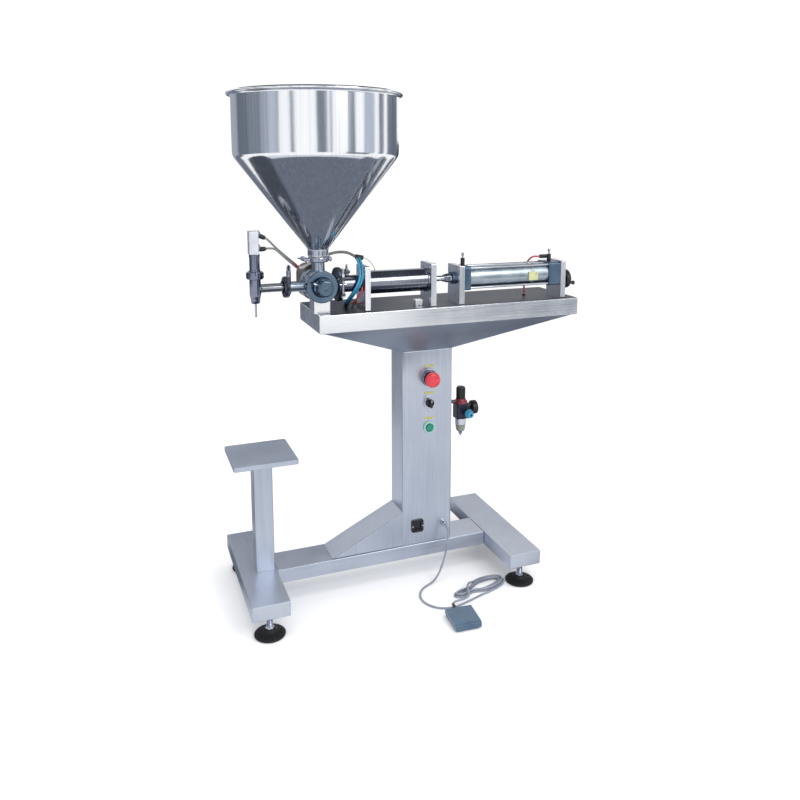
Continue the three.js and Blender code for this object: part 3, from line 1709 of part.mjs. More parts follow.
function nozzleHose(place, [landingX, landingY], middle) {
  const height = fittingHeights[place];
  return hose([
    [fittingEnd, axisY, height],
    [fittingEnd + hoseRadius, axisY, height],
    ...middle.map(fromAxis),
    [landingX, landingY, actuatorTop + 2 * hoseRadius],
    [landingX, landingY, actuatorTop + seatGap],
  ]);
}

function valveHose() {
  const [x, y] = valveRoute[0];
  const [endX, endY] = valveRoute[valveRoute.length - 1];
  return hose([
    [x, y, actuatorTop + seatGap],
    ...valveRoute.map(fromAxis),
    [endX, endY, trayTop + 2 * hoseRadius],
    [endX, endY, trayTop + seatGap],
  ], valveHoseSteps);
}

function plateHose() {
  const face = frontPlateLeft - seatGap;
  const startY = plateRoute[0][1];
  const height = axisHeight - plateFittingDrop;
  const [endX, endY] = plateRoute[plateRoute.length - 1];
  return hose([
    [face, startY, height],
    [face - hoseRadius, startY, height],
    ...plateRoute.map(fromAxis),
    [endX, endY, trayTop + 2 * hoseRadius],
    [endX, endY, trayTop + seatGap],
  ]);
}

function rearHose() {
  const height = axisHeight + capSide / 2 + rearFittingRise;
  const exit = rearFittingX - rearFittingReach - seatGap;
  const [endX, endY] = rearRoute[rearRoute.length - 1];
  return hose([
    [exit, axisY, height],
    [exit - hoseRadius, axisY, height],
    ...rearRoute.map(([along, across, rise]) => fromAxis([exit + along, across, rise])),
    [exit + endX, endY, trayTop + 2 * hoseRadius],
    [exit + endX, endY, trayTop + seatGap],
  ]);
}

// Colours

function finish(color, roughness, metalness) {
  return new THREE.MeshStandardMaterial({ color, roughness, metalness, flatShading: true });
}

const brushedSteel = finish(0xa8afbe, 0.38, 1);
const polishedSteel = finish(0xc3c8d2, 0.12, 1);
const whiteSteel = finish(0xe6e8ec, 0.3, 1);
const darkSteel = finish(0x3a4048, 0.3, 1);
const blackPlastic = finish(0x17181a, 0.5, 0);
const blackRubber = finish(0x121314, 0.8, 0);
const stopRed = finish(0xe0484e, 0.4, 0);
const startGreen = finish(0x1f8f7d, 0.35, 0);
const clearPlastic = finish(0xc9d4d2, 0.15, 0);
const pedalBlue = finish(0x5a7891, 0.55, 0.3);
const cordGrey = finish(0xc9ced3, 0.6, 0);
const hoseGrey = finish(0x8d9a98, 0.4, 0);
const hoseBlue = finish(0x2f86b0, 0.4, 0);
const hoseRed = finish(0xc0484f, 0.4, 0);

const machine = new THREE.Group();

function addPiece(name, shape, material) {
  const { vertProperties, triVerts } = shape.getMesh();
  const geometry = new THREE.BufferGeometry();
  geometry.setAttribute("position", new THREE.BufferAttribute(vertProperties, 3));
  geometry.setIndex(new THREE.BufferAttribute(triVerts, 1));
  const mesh = new THREE.Mesh(geometry, material);
  mesh.name = name;
  machine.add(mesh);
  return mesh;
}

addPiece("left_foot_beam", footBeam(leftFootX), brushedSteel);
addPiece("right_foot_beam", footBeam(rightFootX), brushedSteel);
addPiece("base_beam", crossBeam(), brushedSteel);
addPiece("column", column(), brushedSteel);
addPiece("platform_post", platformPost(), brushedSteel);
addPiece("platform", platform(), brushedSteel);
const padReach = footBeamLength / 2 - padInset;
[[leftFootX, -1], [leftFootX, 1], [rightFootX, -1], [rightFootX, 1]].forEach(([x, side], i) => {
  addPiece("levelling_foot_" + (i + 1), levellingFoot(x, side * padReach), blackRubber);
});
addPiece("tray", tray(), brushedSteel);
addPiece("hopper", hopper(), polishedSteel);
const hopperClamp = pipeClamp(inletFerruleRadius, inletNeckRadius + clampCheek);
const outletClamp = pipeClamp(outletFerruleRadius, outletNeckRadius + clampCheek);
addPiece("hopper_clamp", atHopperJoint(hopperClamp), polishedSteel);
addPiece("hopper_clamp_nut", atHopperJoint(wingNut(inletFerruleRadius)), polishedSteel);
addPiece("valve_body", valveBody(), polishedSteel);
addPiece("valve_cover", valveCover(), polishedSteel);
addPiece("valve_rotor", valveRotor(), polishedSteel);
addPiece("valve_actuator", valveActuator(), darkSteel);
addPiece("outlet_clamp", atOutletJoint(outletClamp), polishedSteel);
addPiece("outlet_clamp_nut", atOutletJoint(wingNut(outletFerruleRadius)), polishedSteel);
addPiece("nozzle_body", nozzleBody(), polishedSteel);
addPiece("nozzle_tip", nozzleTip(), polishedSteel);
addPiece("nozzle_clamp", nozzleClamp(), blackPlastic);
addPiece("nozzle_yoke", nozzleYoke(), polishedSteel);
addPiece("nozzle_cylinder", nozzleCylinder(), whiteSteel);
addPiece("nozzle_needle", nozzleNeedle(), polishedSteel);
addPiece("cylinder_clamp", cylinderClamp(), darkSteel);
addPiece("front_plate", frontPlate(), whiteSteel);
addPiece("product_cylinder", productCylinder(), polishedSteel);
addPiece("rear_plate", rearPlate(), whiteSteel);
addPiece("product_piston", productPiston(), polishedSteel);
addPiece("drive_plate", drivePlate(), whiteSteel);
addPiece("air_cylinder_front_cap", frontCap(), darkSteel);
addPiece("air_cylinder_barrel", airBarrel(), whiteSteel);
addPiece("air_cylinder_rear_cap", rearCap(), whiteSteel);
addPiece("air_piston", airPiston(), polishedSteel);
addPiece("end_plate", endPlate(), whiteSteel);
addPiece("handwheel", handwheel(), blackPlastic);
addPiece("handwheel_grip", handwheelGrip(), polishedSteel);
addPiece("emergency_stop_collar", stopCollar(), whiteSteel);
addPiece("emergency_stop_button", stopButton(), stopRed);
addPiece("selector_knob", selectorKnob(), blackPlastic);
addPiece("start_button_bezel", startBezel(), polishedSteel);
addPiece("start_button", startButton(), startGreen);
addPiece("power_inlet", powerInlet(), blackPlastic);
addPiece("cable_gland", cableGland(), whiteSteel);
addPiece("regulator_body", regulatorBody(), blackPlastic);
addPiece("regulator_knob", regulatorKnob(), blackPlastic);
addPiece("regulator_bowl", regulatorBowl(), clearPlastic);
addPiece("pressure_gauge", pressureGauge(), blackPlastic);
addPiece("pedal_base", pedalBase(), pedalBlue);
addPiece("pedal_treadle", pedalTreadle(), pedalBlue);
addPiece("upper_nozzle_hose", nozzleHose(1, upperNozzleLanding, upperNozzleRoute), hoseGrey);
addPiece("lower_nozzle_hose", nozzleHose(0, lowerNozzleLanding, lowerNozzleRoute), hoseGrey);
addPiece("valve_hose", valveHose(), hoseBlue);
addPiece("plate_hose", plateHose(), hoseRed);
addPiece("rear_hose", rearHose(), hoseRed);

// The origin goes under the middle of everything but the foot switch's cord.
machine.updateMatrixWorld(true);
const middle = new THREE.Box3().setFromObject(machine).getCenter(new THREE.Vector3());
addPiece("foot_cord", footCord(), cordGrey);
addPiece("foot_cord_hank", tubeThrough(hank, cordRadius, cordSides), cordGrey);
machine.position.set(-middle.x, -middle.y, 0);

export default machine;
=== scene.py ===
# %% [markdown]
# # A pneumatic filling machine
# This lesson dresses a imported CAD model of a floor-standing piston filler.
# The CAD gives the sizes and the joints, and each step here gives one piece
# of it a finer shape and the finish that the real one has.

# %% Load the fixed frame
import math
import bmesh
import bpy
from mathutils import Matrix, Vector


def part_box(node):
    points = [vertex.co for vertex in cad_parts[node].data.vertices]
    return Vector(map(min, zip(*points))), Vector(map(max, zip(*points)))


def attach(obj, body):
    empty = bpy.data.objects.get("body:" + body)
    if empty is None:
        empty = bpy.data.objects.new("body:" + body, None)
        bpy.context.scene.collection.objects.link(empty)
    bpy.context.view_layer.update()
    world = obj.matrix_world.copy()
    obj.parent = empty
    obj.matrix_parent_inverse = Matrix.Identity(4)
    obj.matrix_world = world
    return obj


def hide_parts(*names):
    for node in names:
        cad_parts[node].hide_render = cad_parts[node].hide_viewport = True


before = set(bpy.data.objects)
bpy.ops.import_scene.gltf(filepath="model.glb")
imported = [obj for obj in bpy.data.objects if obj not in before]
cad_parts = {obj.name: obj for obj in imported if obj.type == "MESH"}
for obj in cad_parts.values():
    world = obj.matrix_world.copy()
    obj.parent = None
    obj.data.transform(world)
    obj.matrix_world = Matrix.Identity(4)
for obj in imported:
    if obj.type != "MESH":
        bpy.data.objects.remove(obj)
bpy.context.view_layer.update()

# %% [markdown]
# ## One set of axes for all pieces
# The maker's drawing has its zero on the floor under the middle of the
# column and its sizes in millimetres. One function turns such a point into
# the scene's metres, so that each number below can be read as a real length.

# %% Millimetres on the machine's own axes
MM = 0.001
column_half_width = 75
column_low, column_high = (Vector(corner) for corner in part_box("column"))
ORIGIN = Vector((
    column_high.x - column_half_width * MM,
    (column_low.y + column_high.y) / 2,
    0,
))


def at(x, y, z):
    return ORIGIN + Vector((x, y, z)) * MM


print("column axis at", [round(value, 4) for value in ORIGIN])

# %% [markdown]
# ## The camera
# The photograph was taken from a little to the left, with the lens about
# level with the hopper. It looks down by nine degrees, and a small shift of
# the lens puts the machine where the photograph has it.

# %% Stand the camera
camera_place = (-807.72, -1944.94, 1165.59)
tipped_down, turned_right = 9.02, 21.0
camera_data = bpy.data.cameras.new("camera")
camera_data.sensor_width = 36
camera_data.lens = 34.5
camera_data.shift_x = -0.0016
camera_data.shift_y = -0.1409
camera_data.clip_end = 20
camera = bpy.data.objects.new("camera", camera_data)
camera.location = at(*camera_place)
camera.rotation_euler = (math.radians(90 - tipped_down), 0, math.radians(-turned_right))
bpy.context.collection.objects.link(camera)
bpy.context.scene.camera = camera
print("camera height", round(camera.location.z, 3), "m")

# %% [markdown]
# ## Nodes and colours for the finishes
# A finish is a small net of shader nodes. One function adds any node with
# its settings and links, and one turns the hex colours of a swatch card into
# the linear numbers that the shader works with.

# %% Helpers for finishes
def linear(hexcode):
    channels = [int(hexcode[i:i + 2], 16) / 255 for i in (1, 3, 5)]
    curve = [c / 12.92 if c <= 0.04045 else ((c + 0.055) / 1.055) ** 2.4 for c in channels]
    return (*curve, 1)


def add_node(tree, kind, settings=None, inputs=None):
    node = tree.nodes.new(kind)
    for key, value in (settings or {}).items():
        setattr(node, key, value)
    for key, value in (inputs or {}).items():
        if isinstance(value, bpy.types.NodeSocket):
            tree.links.new(value, node.inputs[key])
        else:
            node.inputs[key].default_value = value
    return node


def start_finish(name, fixed):
    finish = bpy.data.materials.new(name)
    finish.use_nodes = True
    tree = finish.node_tree
    shader = tree.nodes["Principled BSDF"]
    for key, value in fixed.items():
        shader.inputs[key].default_value = value
    return finish, tree, shader


def pattern(tree, size_mm, detail=3, roughness=0.5, seed=0):
    """Noise whose grains have the given sizes along X, Y and Z, in millimetres."""
    where = add_node(tree, "ShaderNodeTexCoord").outputs["Object"]
    scale = tuple(1 / (length * MM) for length in size_mm)
    moved = add_node(tree, "ShaderNodeMapping",
                     inputs={"Vector": where, "Scale": scale, "Location": (seed, seed, seed)})
    noise = add_node(tree, "ShaderNodeTexNoise", inputs={
        "Vector": moved.outputs["Vector"], "Scale": 1, "Detail": detail, "Roughness": roughness})
    return noise.outputs["Fac"]


def spread(tree, value, low, high, start=0.3, end=0.7):
    return add_node(tree, "ShaderNodeMapRange", inputs={
        "Value": value, "From Min": start, "From Max": end, "To Min": low, "To Max": high}).outputs["Result"]


def blend_colours(tree, share, first, second):
    mix = add_node(tree, "ShaderNodeMix", {"data_type": "RGBA"},
                   {0: share, 6: linear(first), 7: linear(second)})
    return mix.outputs[2]


def relief(tree, shader, height, depth_mm, strength=1.0):
    bump = add_node(tree, "ShaderNodeBump", inputs={"Height": height, "Distance": depth_mm * MM,
                                                    "Strength": strength})
    tree.links.new(bump.outputs["Normal"], shader.inputs["Normal"])


# %% [markdown]
# ## Stainless steel, brushed, satin and polished
# The stand is folded from 304 stainless sheet with a belt-ground grain: long
# hair lines under a millimetre wide. The lines scatter light across
# themselves, so the sheet looks soft one way and drawn out the other. Turned
# pieces carry the same lines as rings. Only the sizes of the grain differ, so
# one recipe makes them all, and a wide faint noise on top gives the uneven
# tone of handled sheet.

# %% Steel finishes
def ground_steel(name, dark, light, grain_mm, rough=(0.28, 0.42), depth_mm=0.02, smear_mm=90):
    finish, tree, shader = start_finish(name, {"Metallic": 1.0})
    hair = pattern(tree, grain_mm, detail=4)
    cloud = pattern(tree, (smear_mm, smear_mm, smear_mm * 1.6), detail=2, seed=3)
    both = add_node(tree, "ShaderNodeMath", {"operation": "MULTIPLY_ADD"},
                    {0: cloud, 1: 0.6, 2: hair}).outputs[0]
    colour = blend_colours(tree, spread(tree, both, 0, 1, 0.5, 1.05), dark, light)
    tree.links.new(colour, shader.inputs["Base Color"])
    tree.links.new(spread(tree, both, *rough, 0.5, 1.05), shader.inputs["Roughness"])
    relief(tree, shader, hair, depth_mm, 0.35)
    return finish


# The hair lines are 0.8 mm wide on the sheet. They are drawn 1.6 mm wide so
# that the render shows them at all.
hair_mm, hair_length_mm = 1.6, 140
along_x = (hair_length_mm, hair_mm, hair_mm)
along_y = (hair_mm, hair_length_mm, hair_mm)
along_z = (hair_mm, hair_mm, hair_length_mm)
# Reflections smear across the lines, so a beam's side is one soft tone. The
# tray's top is dull and painted dark as painted shade, its funnel is painted
# darker as the painted shade under the tray, and its skirt is painted the
# brightest sheet as painted light.
stand_dark, stand_light = "#BEC5D2", "#D6DCE8"
brushed_x = ground_steel("brushed_stainless_lengthwise", stand_dark, stand_light, along_x)
brushed_y = ground_steel("brushed_stainless_crosswise", stand_dark, stand_light, along_y)
brushed_z = ground_steel("brushed_stainless_upright", stand_dark, stand_light, along_z)
# The skirt's two tones are painted lighter than the stand's, as painted light.
tray_skirt_painted_light = ground_steel("brushed_stainless_tray_painted_light", "#EEF2F8", "#FCFDFF", along_x, (0.18, 0.3))
# The tray top's two tones are painted dark, as painted shade.
tray_top_painted_shade = ground_steel("dull_stainless_tray_top_painted_shade", "#3C414A", "#4E545F", along_x, (0.32, 0.48))
# The funnel's two tones are painted darker, as the painted shade under the tray.
funnel_painted_shade = ground_steel("brushed_stainless_funnel_painted_shade", "#AAB0BC", "#BCC2CD", along_x, (0.32, 0.48))
# The platform's top is painted a little lighter and bluer than the stand, as painted light.
platform_painted_light = ground_steel("stainless_platform_painted_light", "#C2CAD8", "#D8DFEC", along_x, (0.3, 0.46))

# Turned pieces have lathe rings a third of a millimetre apart, drawn at 1 mm
# so that they show. They give a bright line along the piece that breaks up
# into fine bars. A nozzle or a rod is polished further and mirrors more.
ring_mm, ring_length_mm = 1.0, 60
rings_x = (ring_mm, ring_length_mm, ring_length_mm)
rings_y = (ring_length_mm, ring_mm, ring_length_mm)
rings_z = (ring_length_mm, ring_length_mm, ring_mm)
turned_x = ground_steel("turned_stainless_lengthwise", "#7A7F8C", "#989CA8", rings_x, (0.12, 0.24), 0.008)
turned_y = ground_steel("turned_stainless_crosswise", "#8C99A6", "#A6B3C0", rings_y, (0.16, 0.3), 0.008)
# The valve cover and plug are painted dark blue-grey, as painted shade with a bluish painted reflection.
cover_painted_shade = ground_steel("turned_stainless_cover_painted_shade", "#55687B", "#6C8093", rings_y, (0.18, 0.32), 0.008)
turned_z = ground_steel("turned_stainless_upright", "#9EA3B3", "#C0C5D2", rings_z, (0.1, 0.2), 0.008)
nozzle_steel = ground_steel("polished_stainless_nozzle", "#6E7386", "#9297AB", rings_z, (0.06, 0.14), 0.008)
pipe_steel = ground_steel("drawn_stainless_pipe", "#8A8C93", "#A8AAB0", rings_x, (0.1, 0.18), 0.008)
bright_plate = ground_steel("satin_stainless_plate", "#EDEFF4", "#FAFBFD", along_z, (0.2, 0.32), 0.004)
chrome_rod = ground_steel("hard_chrome_rod", "#C4C8D0", "#D8DBE2", rings_x, (0.04, 0.09), 0.003)

# Castings wave over 6 mm, which bends the highlights on their rounded edges.
cast_grain = (6, 6, 6)
clamp_steel = ground_steel("cast_stainless_clamp", "#8A8EA0", "#ACB0C0", cast_grain, (0.12, 0.24), 0.05)
# The outlet and cylinder clamps are painted dark, as a painted dark reflection in polished steel.
clamp_painted_dark_reflection = ground_steel("cast_stainless_painted_dark_reflection", "#474A56", "#646876", cast_grain, (0.22, 0.4), 0.06)

# %% [markdown]
# The hopper is spun and rolled from mirror-polished sheet. The polish still
# shows faint upright bands, and the sheet waves a little, so the reflections
# break into streaks. A shallow wide relief does that.

# %% The hopper's mirror polish
# The polishing bands are 7 mm wide, and the sheet waves every 60 mm round the
# wall and every 260 mm up it.
band_mm, wave_mm, wave_depth_mm = (7, 7, 420), (60, 60, 260), 1.2
hopper_steel, tree, shader = start_finish("mirror_stainless_hopper", {"Metallic": 1.0})
streaks = pattern(tree, band_mm, detail=2)
waves = pattern(tree, wave_mm, detail=1, seed=5)
colour = blend_colours(tree, spread(tree, streaks, 0, 1), "#E6E9EF", "#F6F8FB")
tree.links.new(colour, shader.inputs["Base Color"])
tree.links.new(spread(tree, streaks, 0.09, 0.17), shader.inputs["Roughness"])
relief(tree, shader, waves, wave_depth_mm, 0.35)

# %% [markdown]
# ## Plastics, rubber, paint and tube
# Moulded nylon and ABS have a fine spark-eroded grain; rubber is rougher and
# a little dusty. The pedal is cast and hammer-painted. Tubes are extruded and
# smooth. The same recipe covers them: two near tones, a roughness range and a
# relief as deep as the grain. Anodised aluminium is as even as a moulding, so
# it is the same recipe with the metal turned on.

# %% Plastics and paint
def moulded(name, dark, light, grain_mm, rough, depth_mm, fixed=None):
    finish, tree, shader = start_finish(name, {"IOR": 1.5, **(fixed or {})})
    grain = pattern(tree, (grain_mm,) * 3, detail=3)
    dust = pattern(tree, (35, 35, 35), detail=2, seed=7)
    colour = blend_colours(tree, spread(tree, dust, 0, 1), dark, light)
    tree.links.new(colour, shader.inputs["Base Color"])
    tree.links.new(spread(tree, dust, *rough), shader.inputs["Roughness"])
    relief(tree, shader, grain, depth_mm, 0.5)
    return finish


# Moulded and extruded grain is about 0.2 mm. It is drawn 0.6 to 1.5 mm so that
# the render shows it. Rubber looks flat and dusty, nylon has a dull sheen.
foot_rubber = moulded("moulded_rubber_foot", "#0A0B0D", "#131417", 1.5, (0.55, 0.72), 0.06)
black_nylon = moulded("moulded_nylon_black", "#101216", "#1B1E24", 0.8, (0.32, 0.46), 0.03)
black_body = moulded("moulded_nylon_regulator", "#0E1224", "#171C33", 0.8, (0.25, 0.4), 0.03)
knob_green_black = moulded("moulded_nylon_knob", "#10160F", "#1C241B", 0.8, (0.3, 0.42), 0.03)
# Smooth ABS keeps one small sharp highlight on a strong even colour.
collar_red = moulded("moulded_abs_dark_red", "#6E1626", "#8A2234", 0.8, (0.28, 0.38), 0.02)
stop_red = moulded("moulded_abs_red", "#C4303A", "#D0424A", 1.2, (0.24, 0.32), 0.01)
bezel_mint = moulded("moulded_abs_pale_green", "#8FBDB2", "#AACFC6", 1.2, (0.2, 0.3), 0.01)
start_green = moulded("moulded_abs_green", "#12705F", "#1E8D7A", 1.2, (0.24, 0.32), 0.01)
yellow_plate = moulded("engraved_plate_yellow", "#A19E55", "#B4B16C", 0.6, (0.3, 0.4), 0.02)
# Hammered paint dries in 2.6 mm cells under a clear skin, so it glints in dots.
hammered_blue = moulded("hammered_paint_blue_grey", "#3C546B", "#4B657C", 2.6, (0.3, 0.42), 0.25,
                        {"Coat Weight": 0.4, "Coat Roughness": 0.15})
# Extruded jackets and tubes are smooth along their length and shine in a line.
cord_jacket = moulded("extruded_pvc_grey", "#7C8190", "#969BA8", 1.0, (0.36, 0.48), 0.02)
tube_grey = moulded("extruded_tube_grey", "#777A76", "#8F938E", 1.5, (0.22, 0.3), 0.01)
tube_blue = moulded("extruded_tube_blue", "#1F6F8F", "#3388A6", 1.5, (0.2, 0.28), 0.01)
tube_red = moulded("extruded_tube_red", "#B04650", "#C9636A", 1.5, (0.2, 0.28), 0.01)
tube_clear = moulded("extruded_tube_natural", "#B9B6A0", "#CFCCB6", 1.5, (0.18, 0.26), 0.01)
pushin_blue = moulded("moulded_acetal_blue", "#2F7CA4", "#4F9CC2", 1.0, (0.18, 0.26), 0.01)
switch_yellow = moulded("moulded_abs_yellow_green", "#A9AE7E", "#BCC094", 1.0, (0.3, 0.4), 0.02)
# Enamel over a casting is dark and wet-looking. Anodised aluminium has a soft
# even sheen with no grain lines, pale when clear and blue-grey when tinted.
dark_enamel = moulded("cast_enamel_dark", "#3A302C", "#4C403A", 1.4, (0.3, 0.42), 0.05,
                      {"Coat Weight": 0.2, "Coat Roughness": 0.2})
anodised = moulded("anodised_aluminium_satin", "#DFE1EA", "#F0F1F7", 1.2, (0.28, 0.38), 0.01,
                   {"Metallic": 1.0})
barrel_grey = moulded("drawn_aluminium_barrel", "#A4AFB9", "#BAC5CE", 1.2, (0.28, 0.38), 0.01,
                      {"Metallic": 1.0})
block_grey = moulded("anodised_aluminium_blue_grey", "#5C7086", "#6F849A", 1.2, (0.3, 0.42), 0.01,
                     {"Metallic": 1.0})
# A printed dial is flat white, and the bowl lets half of the light through.
dial_white = moulded("printed_dial_white", "#E4E5E3", "#F0F1EE", 1.0, (0.4, 0.5), 0.005)
clear_bowl = moulded("clear_polycarbonate", "#9DA29A", "#B4B8B0", 1.5, (0.12, 0.2), 0.01,
                     {"Transmission Weight": 0.5, "IOR": 1.58})
print("finishes:", len(bpy.data.materials))

# %% [markdown]
# ## The foot switch's cord
# The foot switch hangs on 1.85 m of light two-core cable, 5.5 mm thick. It
# drops from a gland in the column, runs over the floor and lies in a loose
# hank beside the pedal. It is one curve from the gland to the pedal: the free
# run's points are given, and the hank's loops follow a rule. The first two
# wind inward on the floor, a little more than a cord's width apart, and the
# rest wind outward on top of them.

# %% The cord's line
cord_mm = 5.5
cord_low = 3.0
cord_exit = (50, -60.3, 149)
cord_run = [
    cord_exit, (50, -68, 148.5), (51, -77, 143), (50, -84, 129), (46, -88, 106), (38, -91, 76),
    (26, -95, 44), (11, -99, 19), (-6, -104, 6), (-25, -111, cord_low), (-44, -123, cord_low),
    (-59, -142, cord_low), (-67, -167, cord_low), (-64, -192, cord_low), (-53, -212, cord_low),
    (-37, -226, cord_low), (-18, -234, cord_low), (3, -236, cord_low), (25, -231, cord_low),
    (48, -224, cord_low), (72, -216, cord_low), (96, -208, cord_low),
]
hank_loops, hank_half_length, hank_pitch = 4, 88, 8.6
hank_start, hank_end = 0.79, 0.25
hank_centre, hank_turn = (104, -172), math.radians(13)
hank_tail = [(-12, 20.5, 12.5), (-24, 15, 15.6), (-35, 6, 16.4), (-44, -6, 16.4), (-52, -19, 16),
             (-61, -32, 14)]
pedal_centre, pedal_turn = (-6, -300), math.radians(-3)


def turned_point(along, across, angle, centre):
    return (
        centre[0] + along * math.cos(angle) - across * math.sin(angle),
        centre[1] + along * math.sin(angle) + across * math.cos(angle),
    )


def waist(along):
    return math.exp(-(((along + 30) / 26) ** 2))


def hank_width(along):
    slope = 28 + 8 * (along + hank_half_length) / (2 * hank_half_length)
    return slope - 15 * waist(along)


def hank_point(t):
    inward = (t if t < hank_loops / 2 else hank_loops - t) * hank_pitch
    angle = (hank_start + t) * 2 * math.pi
    along = (hank_half_length - inward) * math.cos(angle)
    across = (hank_width(along) - inward * (1 - 0.32 * waist(along))) * math.sin(angle)
    climb = min(max((t - 1.75) / 0.5, 0), 1)
    height = cord_low + climb * climb * (3 - 2 * climb) * 6.2
    return (*turned_point(along, across, hank_turn, hank_centre), height)


def pedal_cable_point(reach):
    return (*turned_point(0, 48 + reach, pedal_turn, pedal_centre), 9.6)


turns = hank_loops - (hank_start - hank_end)
steps = math.ceil(turns * 24)
hank = [hank_point(turns * step / steps) for step in range(steps + 1)]
heading = (Vector(hank[0]) - Vector(hank[1])).normalized()
lead_in = tuple(Vector(hank[0]) + heading * cord_mm)
tail = [(*turned_point(along, across, hank_turn, hank_centre), z) for along, across, z in hank_tail]
cord_line = [*cord_run, lead_in, *hank, *tail, *(pedal_cable_point(reach) for reach in (22, 5.5, 0.3))]
print("cord points:", len(cord_line))


# %% A tube along a line of points
def tube(name, points, radius, finish, body="machine", replaces=(), radii=None):
    line = bpy.data.curves.new(name, "CURVE")
    line.dimensions = "3D"
    spline = line.splines.new("BEZIER")
    spline.bezier_points.add(len(points) - 1)
    for index, (knot, point) in enumerate(zip(spline.bezier_points, points)):
        knot.co = at(*point)
        knot.handle_left_type = knot.handle_right_type = "AUTO"
        knot.radius = radii[index] if radii else 1
    line.bevel_depth = radius * MM
    line.bevel_resolution = 4
    line.resolution_u = 5
    line.use_fill_caps = True
    line.materials.append(finish)
    piece = bpy.data.objects.new(name, line)
    bpy.context.collection.objects.link(piece)
    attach(piece, body)
    if replaces:
        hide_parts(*replaces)
    return piece


cord = tube("foot_switch_cord", cord_line, cord_mm / 2, cord_jacket,
            replaces=("foot_cord", "foot_cord_hank"))

# %% [markdown]
# A cord breaks where it is bent hard at its exit, so the gland and the pedal
# each hold it in a tapered boot. Each boot is a short tube on the cord's own
# line, and the radius at each of its points makes the taper.

# %% Boots at the cord's two ends
boot_line = [(50, -59, 149), (50, -64, 148.9), (50, -68, 148.5), (50.7, -73.5, 145.9), (51, -77, 143),
             (50.8, -80.7, 137.5)]
tube("gland_boot", boot_line, 4.6, cord_jacket, radii=[1, 0.98, 0.92, 0.86, 0.8, 0.74])
pedal_boot_line = [pedal_cable_point(reach) for reach in (-0.5, 6, 12, 20.5)]
tube("pedal_boot", pedal_boot_line, 5.0, black_nylon, radii=[1, 0.9, 0.8, 0.68])

# %% [markdown]
# ## Tools for solid pieces
# Most of the machine is turned on a lathe or folded from sheet, so a few
# makers are enough. `lathe` spins a profile round an axis, `block` is a cube
# with its corners and edges bevelled, `slab` extrudes a drawn outline and can
# leave holes in it, and `soften` breaks every sharp edge, since no real edge
# is perfectly sharp and a broken edge is what catches the light.

# %% Shape helpers
TURNED = {
    "X": Matrix.Rotation(math.radians(90), 4, "Y"),
    "Y": Matrix.Rotation(math.radians(-90), 4, "X"),
    "Z": Matrix.Identity(4),
}
DRAWN = {
    "X": Matrix(((0, 0, 1, 0), (1, 0, 0, 0), (0, 1, 0, 0), (0, 0, 0, 1))),
    "Y": Matrix(((1, 0, 0, 0), (0, 0, 1, 0), (0, 1, 0, 0), (0, 0, 0, 1))),
    "Z": Matrix.Identity(4),
}


def bevel(shape, parts, width, segments=2, affect="EDGES"):
    bmesh.ops.bevel(shape, geom=parts, offset=width, offset_type="OFFSET", segments=segments,
                    profile=0.5, affect=affect, clamp_overlap=True, material=-1)


def soften(shape, width, segments=2, limit=35):
    sharp = [edge for edge in shape.edges
             if len(edge.link_faces) == 2 and edge.calc_face_angle(0) > math.radians(limit)]
    bevel(shape, sharp, width, segments)
    return shape


def moved(shape, matrix):
    bmesh.ops.transform(shape, matrix=matrix, verts=shape.verts)
    return shape


def shifted(shape, x=0, y=0, z=0):
    return moved(shape, Matrix.Translation((x, y, z)))


def rotated(shape, degrees, axis):
    return moved(shape, Matrix.Rotation(math.radians(degrees), 4, axis))


def lathe(profile, axis="Z", centre=(0, 0, 0), steps=48, edge=0.0):
    """Spins points of (radius, height along the axis) into a solid."""
    shape = bmesh.new()
    verts = [shape.verts.new((radius, 0, along)) for radius, along in profile]
    edges = [shape.edges.new(pair) for pair in zip(verts, verts[1:])]
    bmesh.ops.spin(shape, geom=verts + edges, cent=(0, 0, 0), axis=(0, 0, 1), angle=2 * math.pi,
                   steps=steps, use_merge=True)
    bmesh.ops.remove_doubles(shape, verts=shape.verts, dist=0.001)
    bmesh.ops.recalc_face_normals(shape, faces=shape.faces)
    if edge:
        soften(shape, edge)
    return moved(shape, Matrix.Translation(centre) @ TURNED[axis])


def bar(radius, low, high, axis="Z", centre=(0, 0, 0), edge=0.5, steps=32):
    return lathe([(0, low), (radius, low), (radius, high), (0, high)], axis, centre, steps, edge)


def hexagon(radius, low, high, axis, centre, edge=0.6):
    return bar(radius, low, high, axis, centre, edge, 6)


def collar(outer, inner, low, high, axis="Z", centre=(0, 0, 0), edge=0.5, steps=48):
    profile = [(inner, low), (outer, low), (outer, high), (inner, high), (inner, low)]
    return lathe(profile, axis, centre, steps, edge)


def block(low, high, corner=0.0, axis="Z", edge=0.8):
    shape = bmesh.new()
    bmesh.ops.create_cube(shape, size=1)
    low, high = Vector(low), Vector(high)
    bmesh.ops.scale(shape, vec=high - low, verts=shape.verts)
    bmesh.ops.translate(shape, vec=(low + high) / 2, verts=shape.verts)
    if corner:
        way = "XYZ".index(axis)
        upright = [edge for edge in shape.edges
                   if abs((edge.verts[0].co - edge.verts[1].co).normalized()[way]) > 0.99]
        bevel(shape, upright, corner, 6)
    return soften(shape, edge) if edge else shape


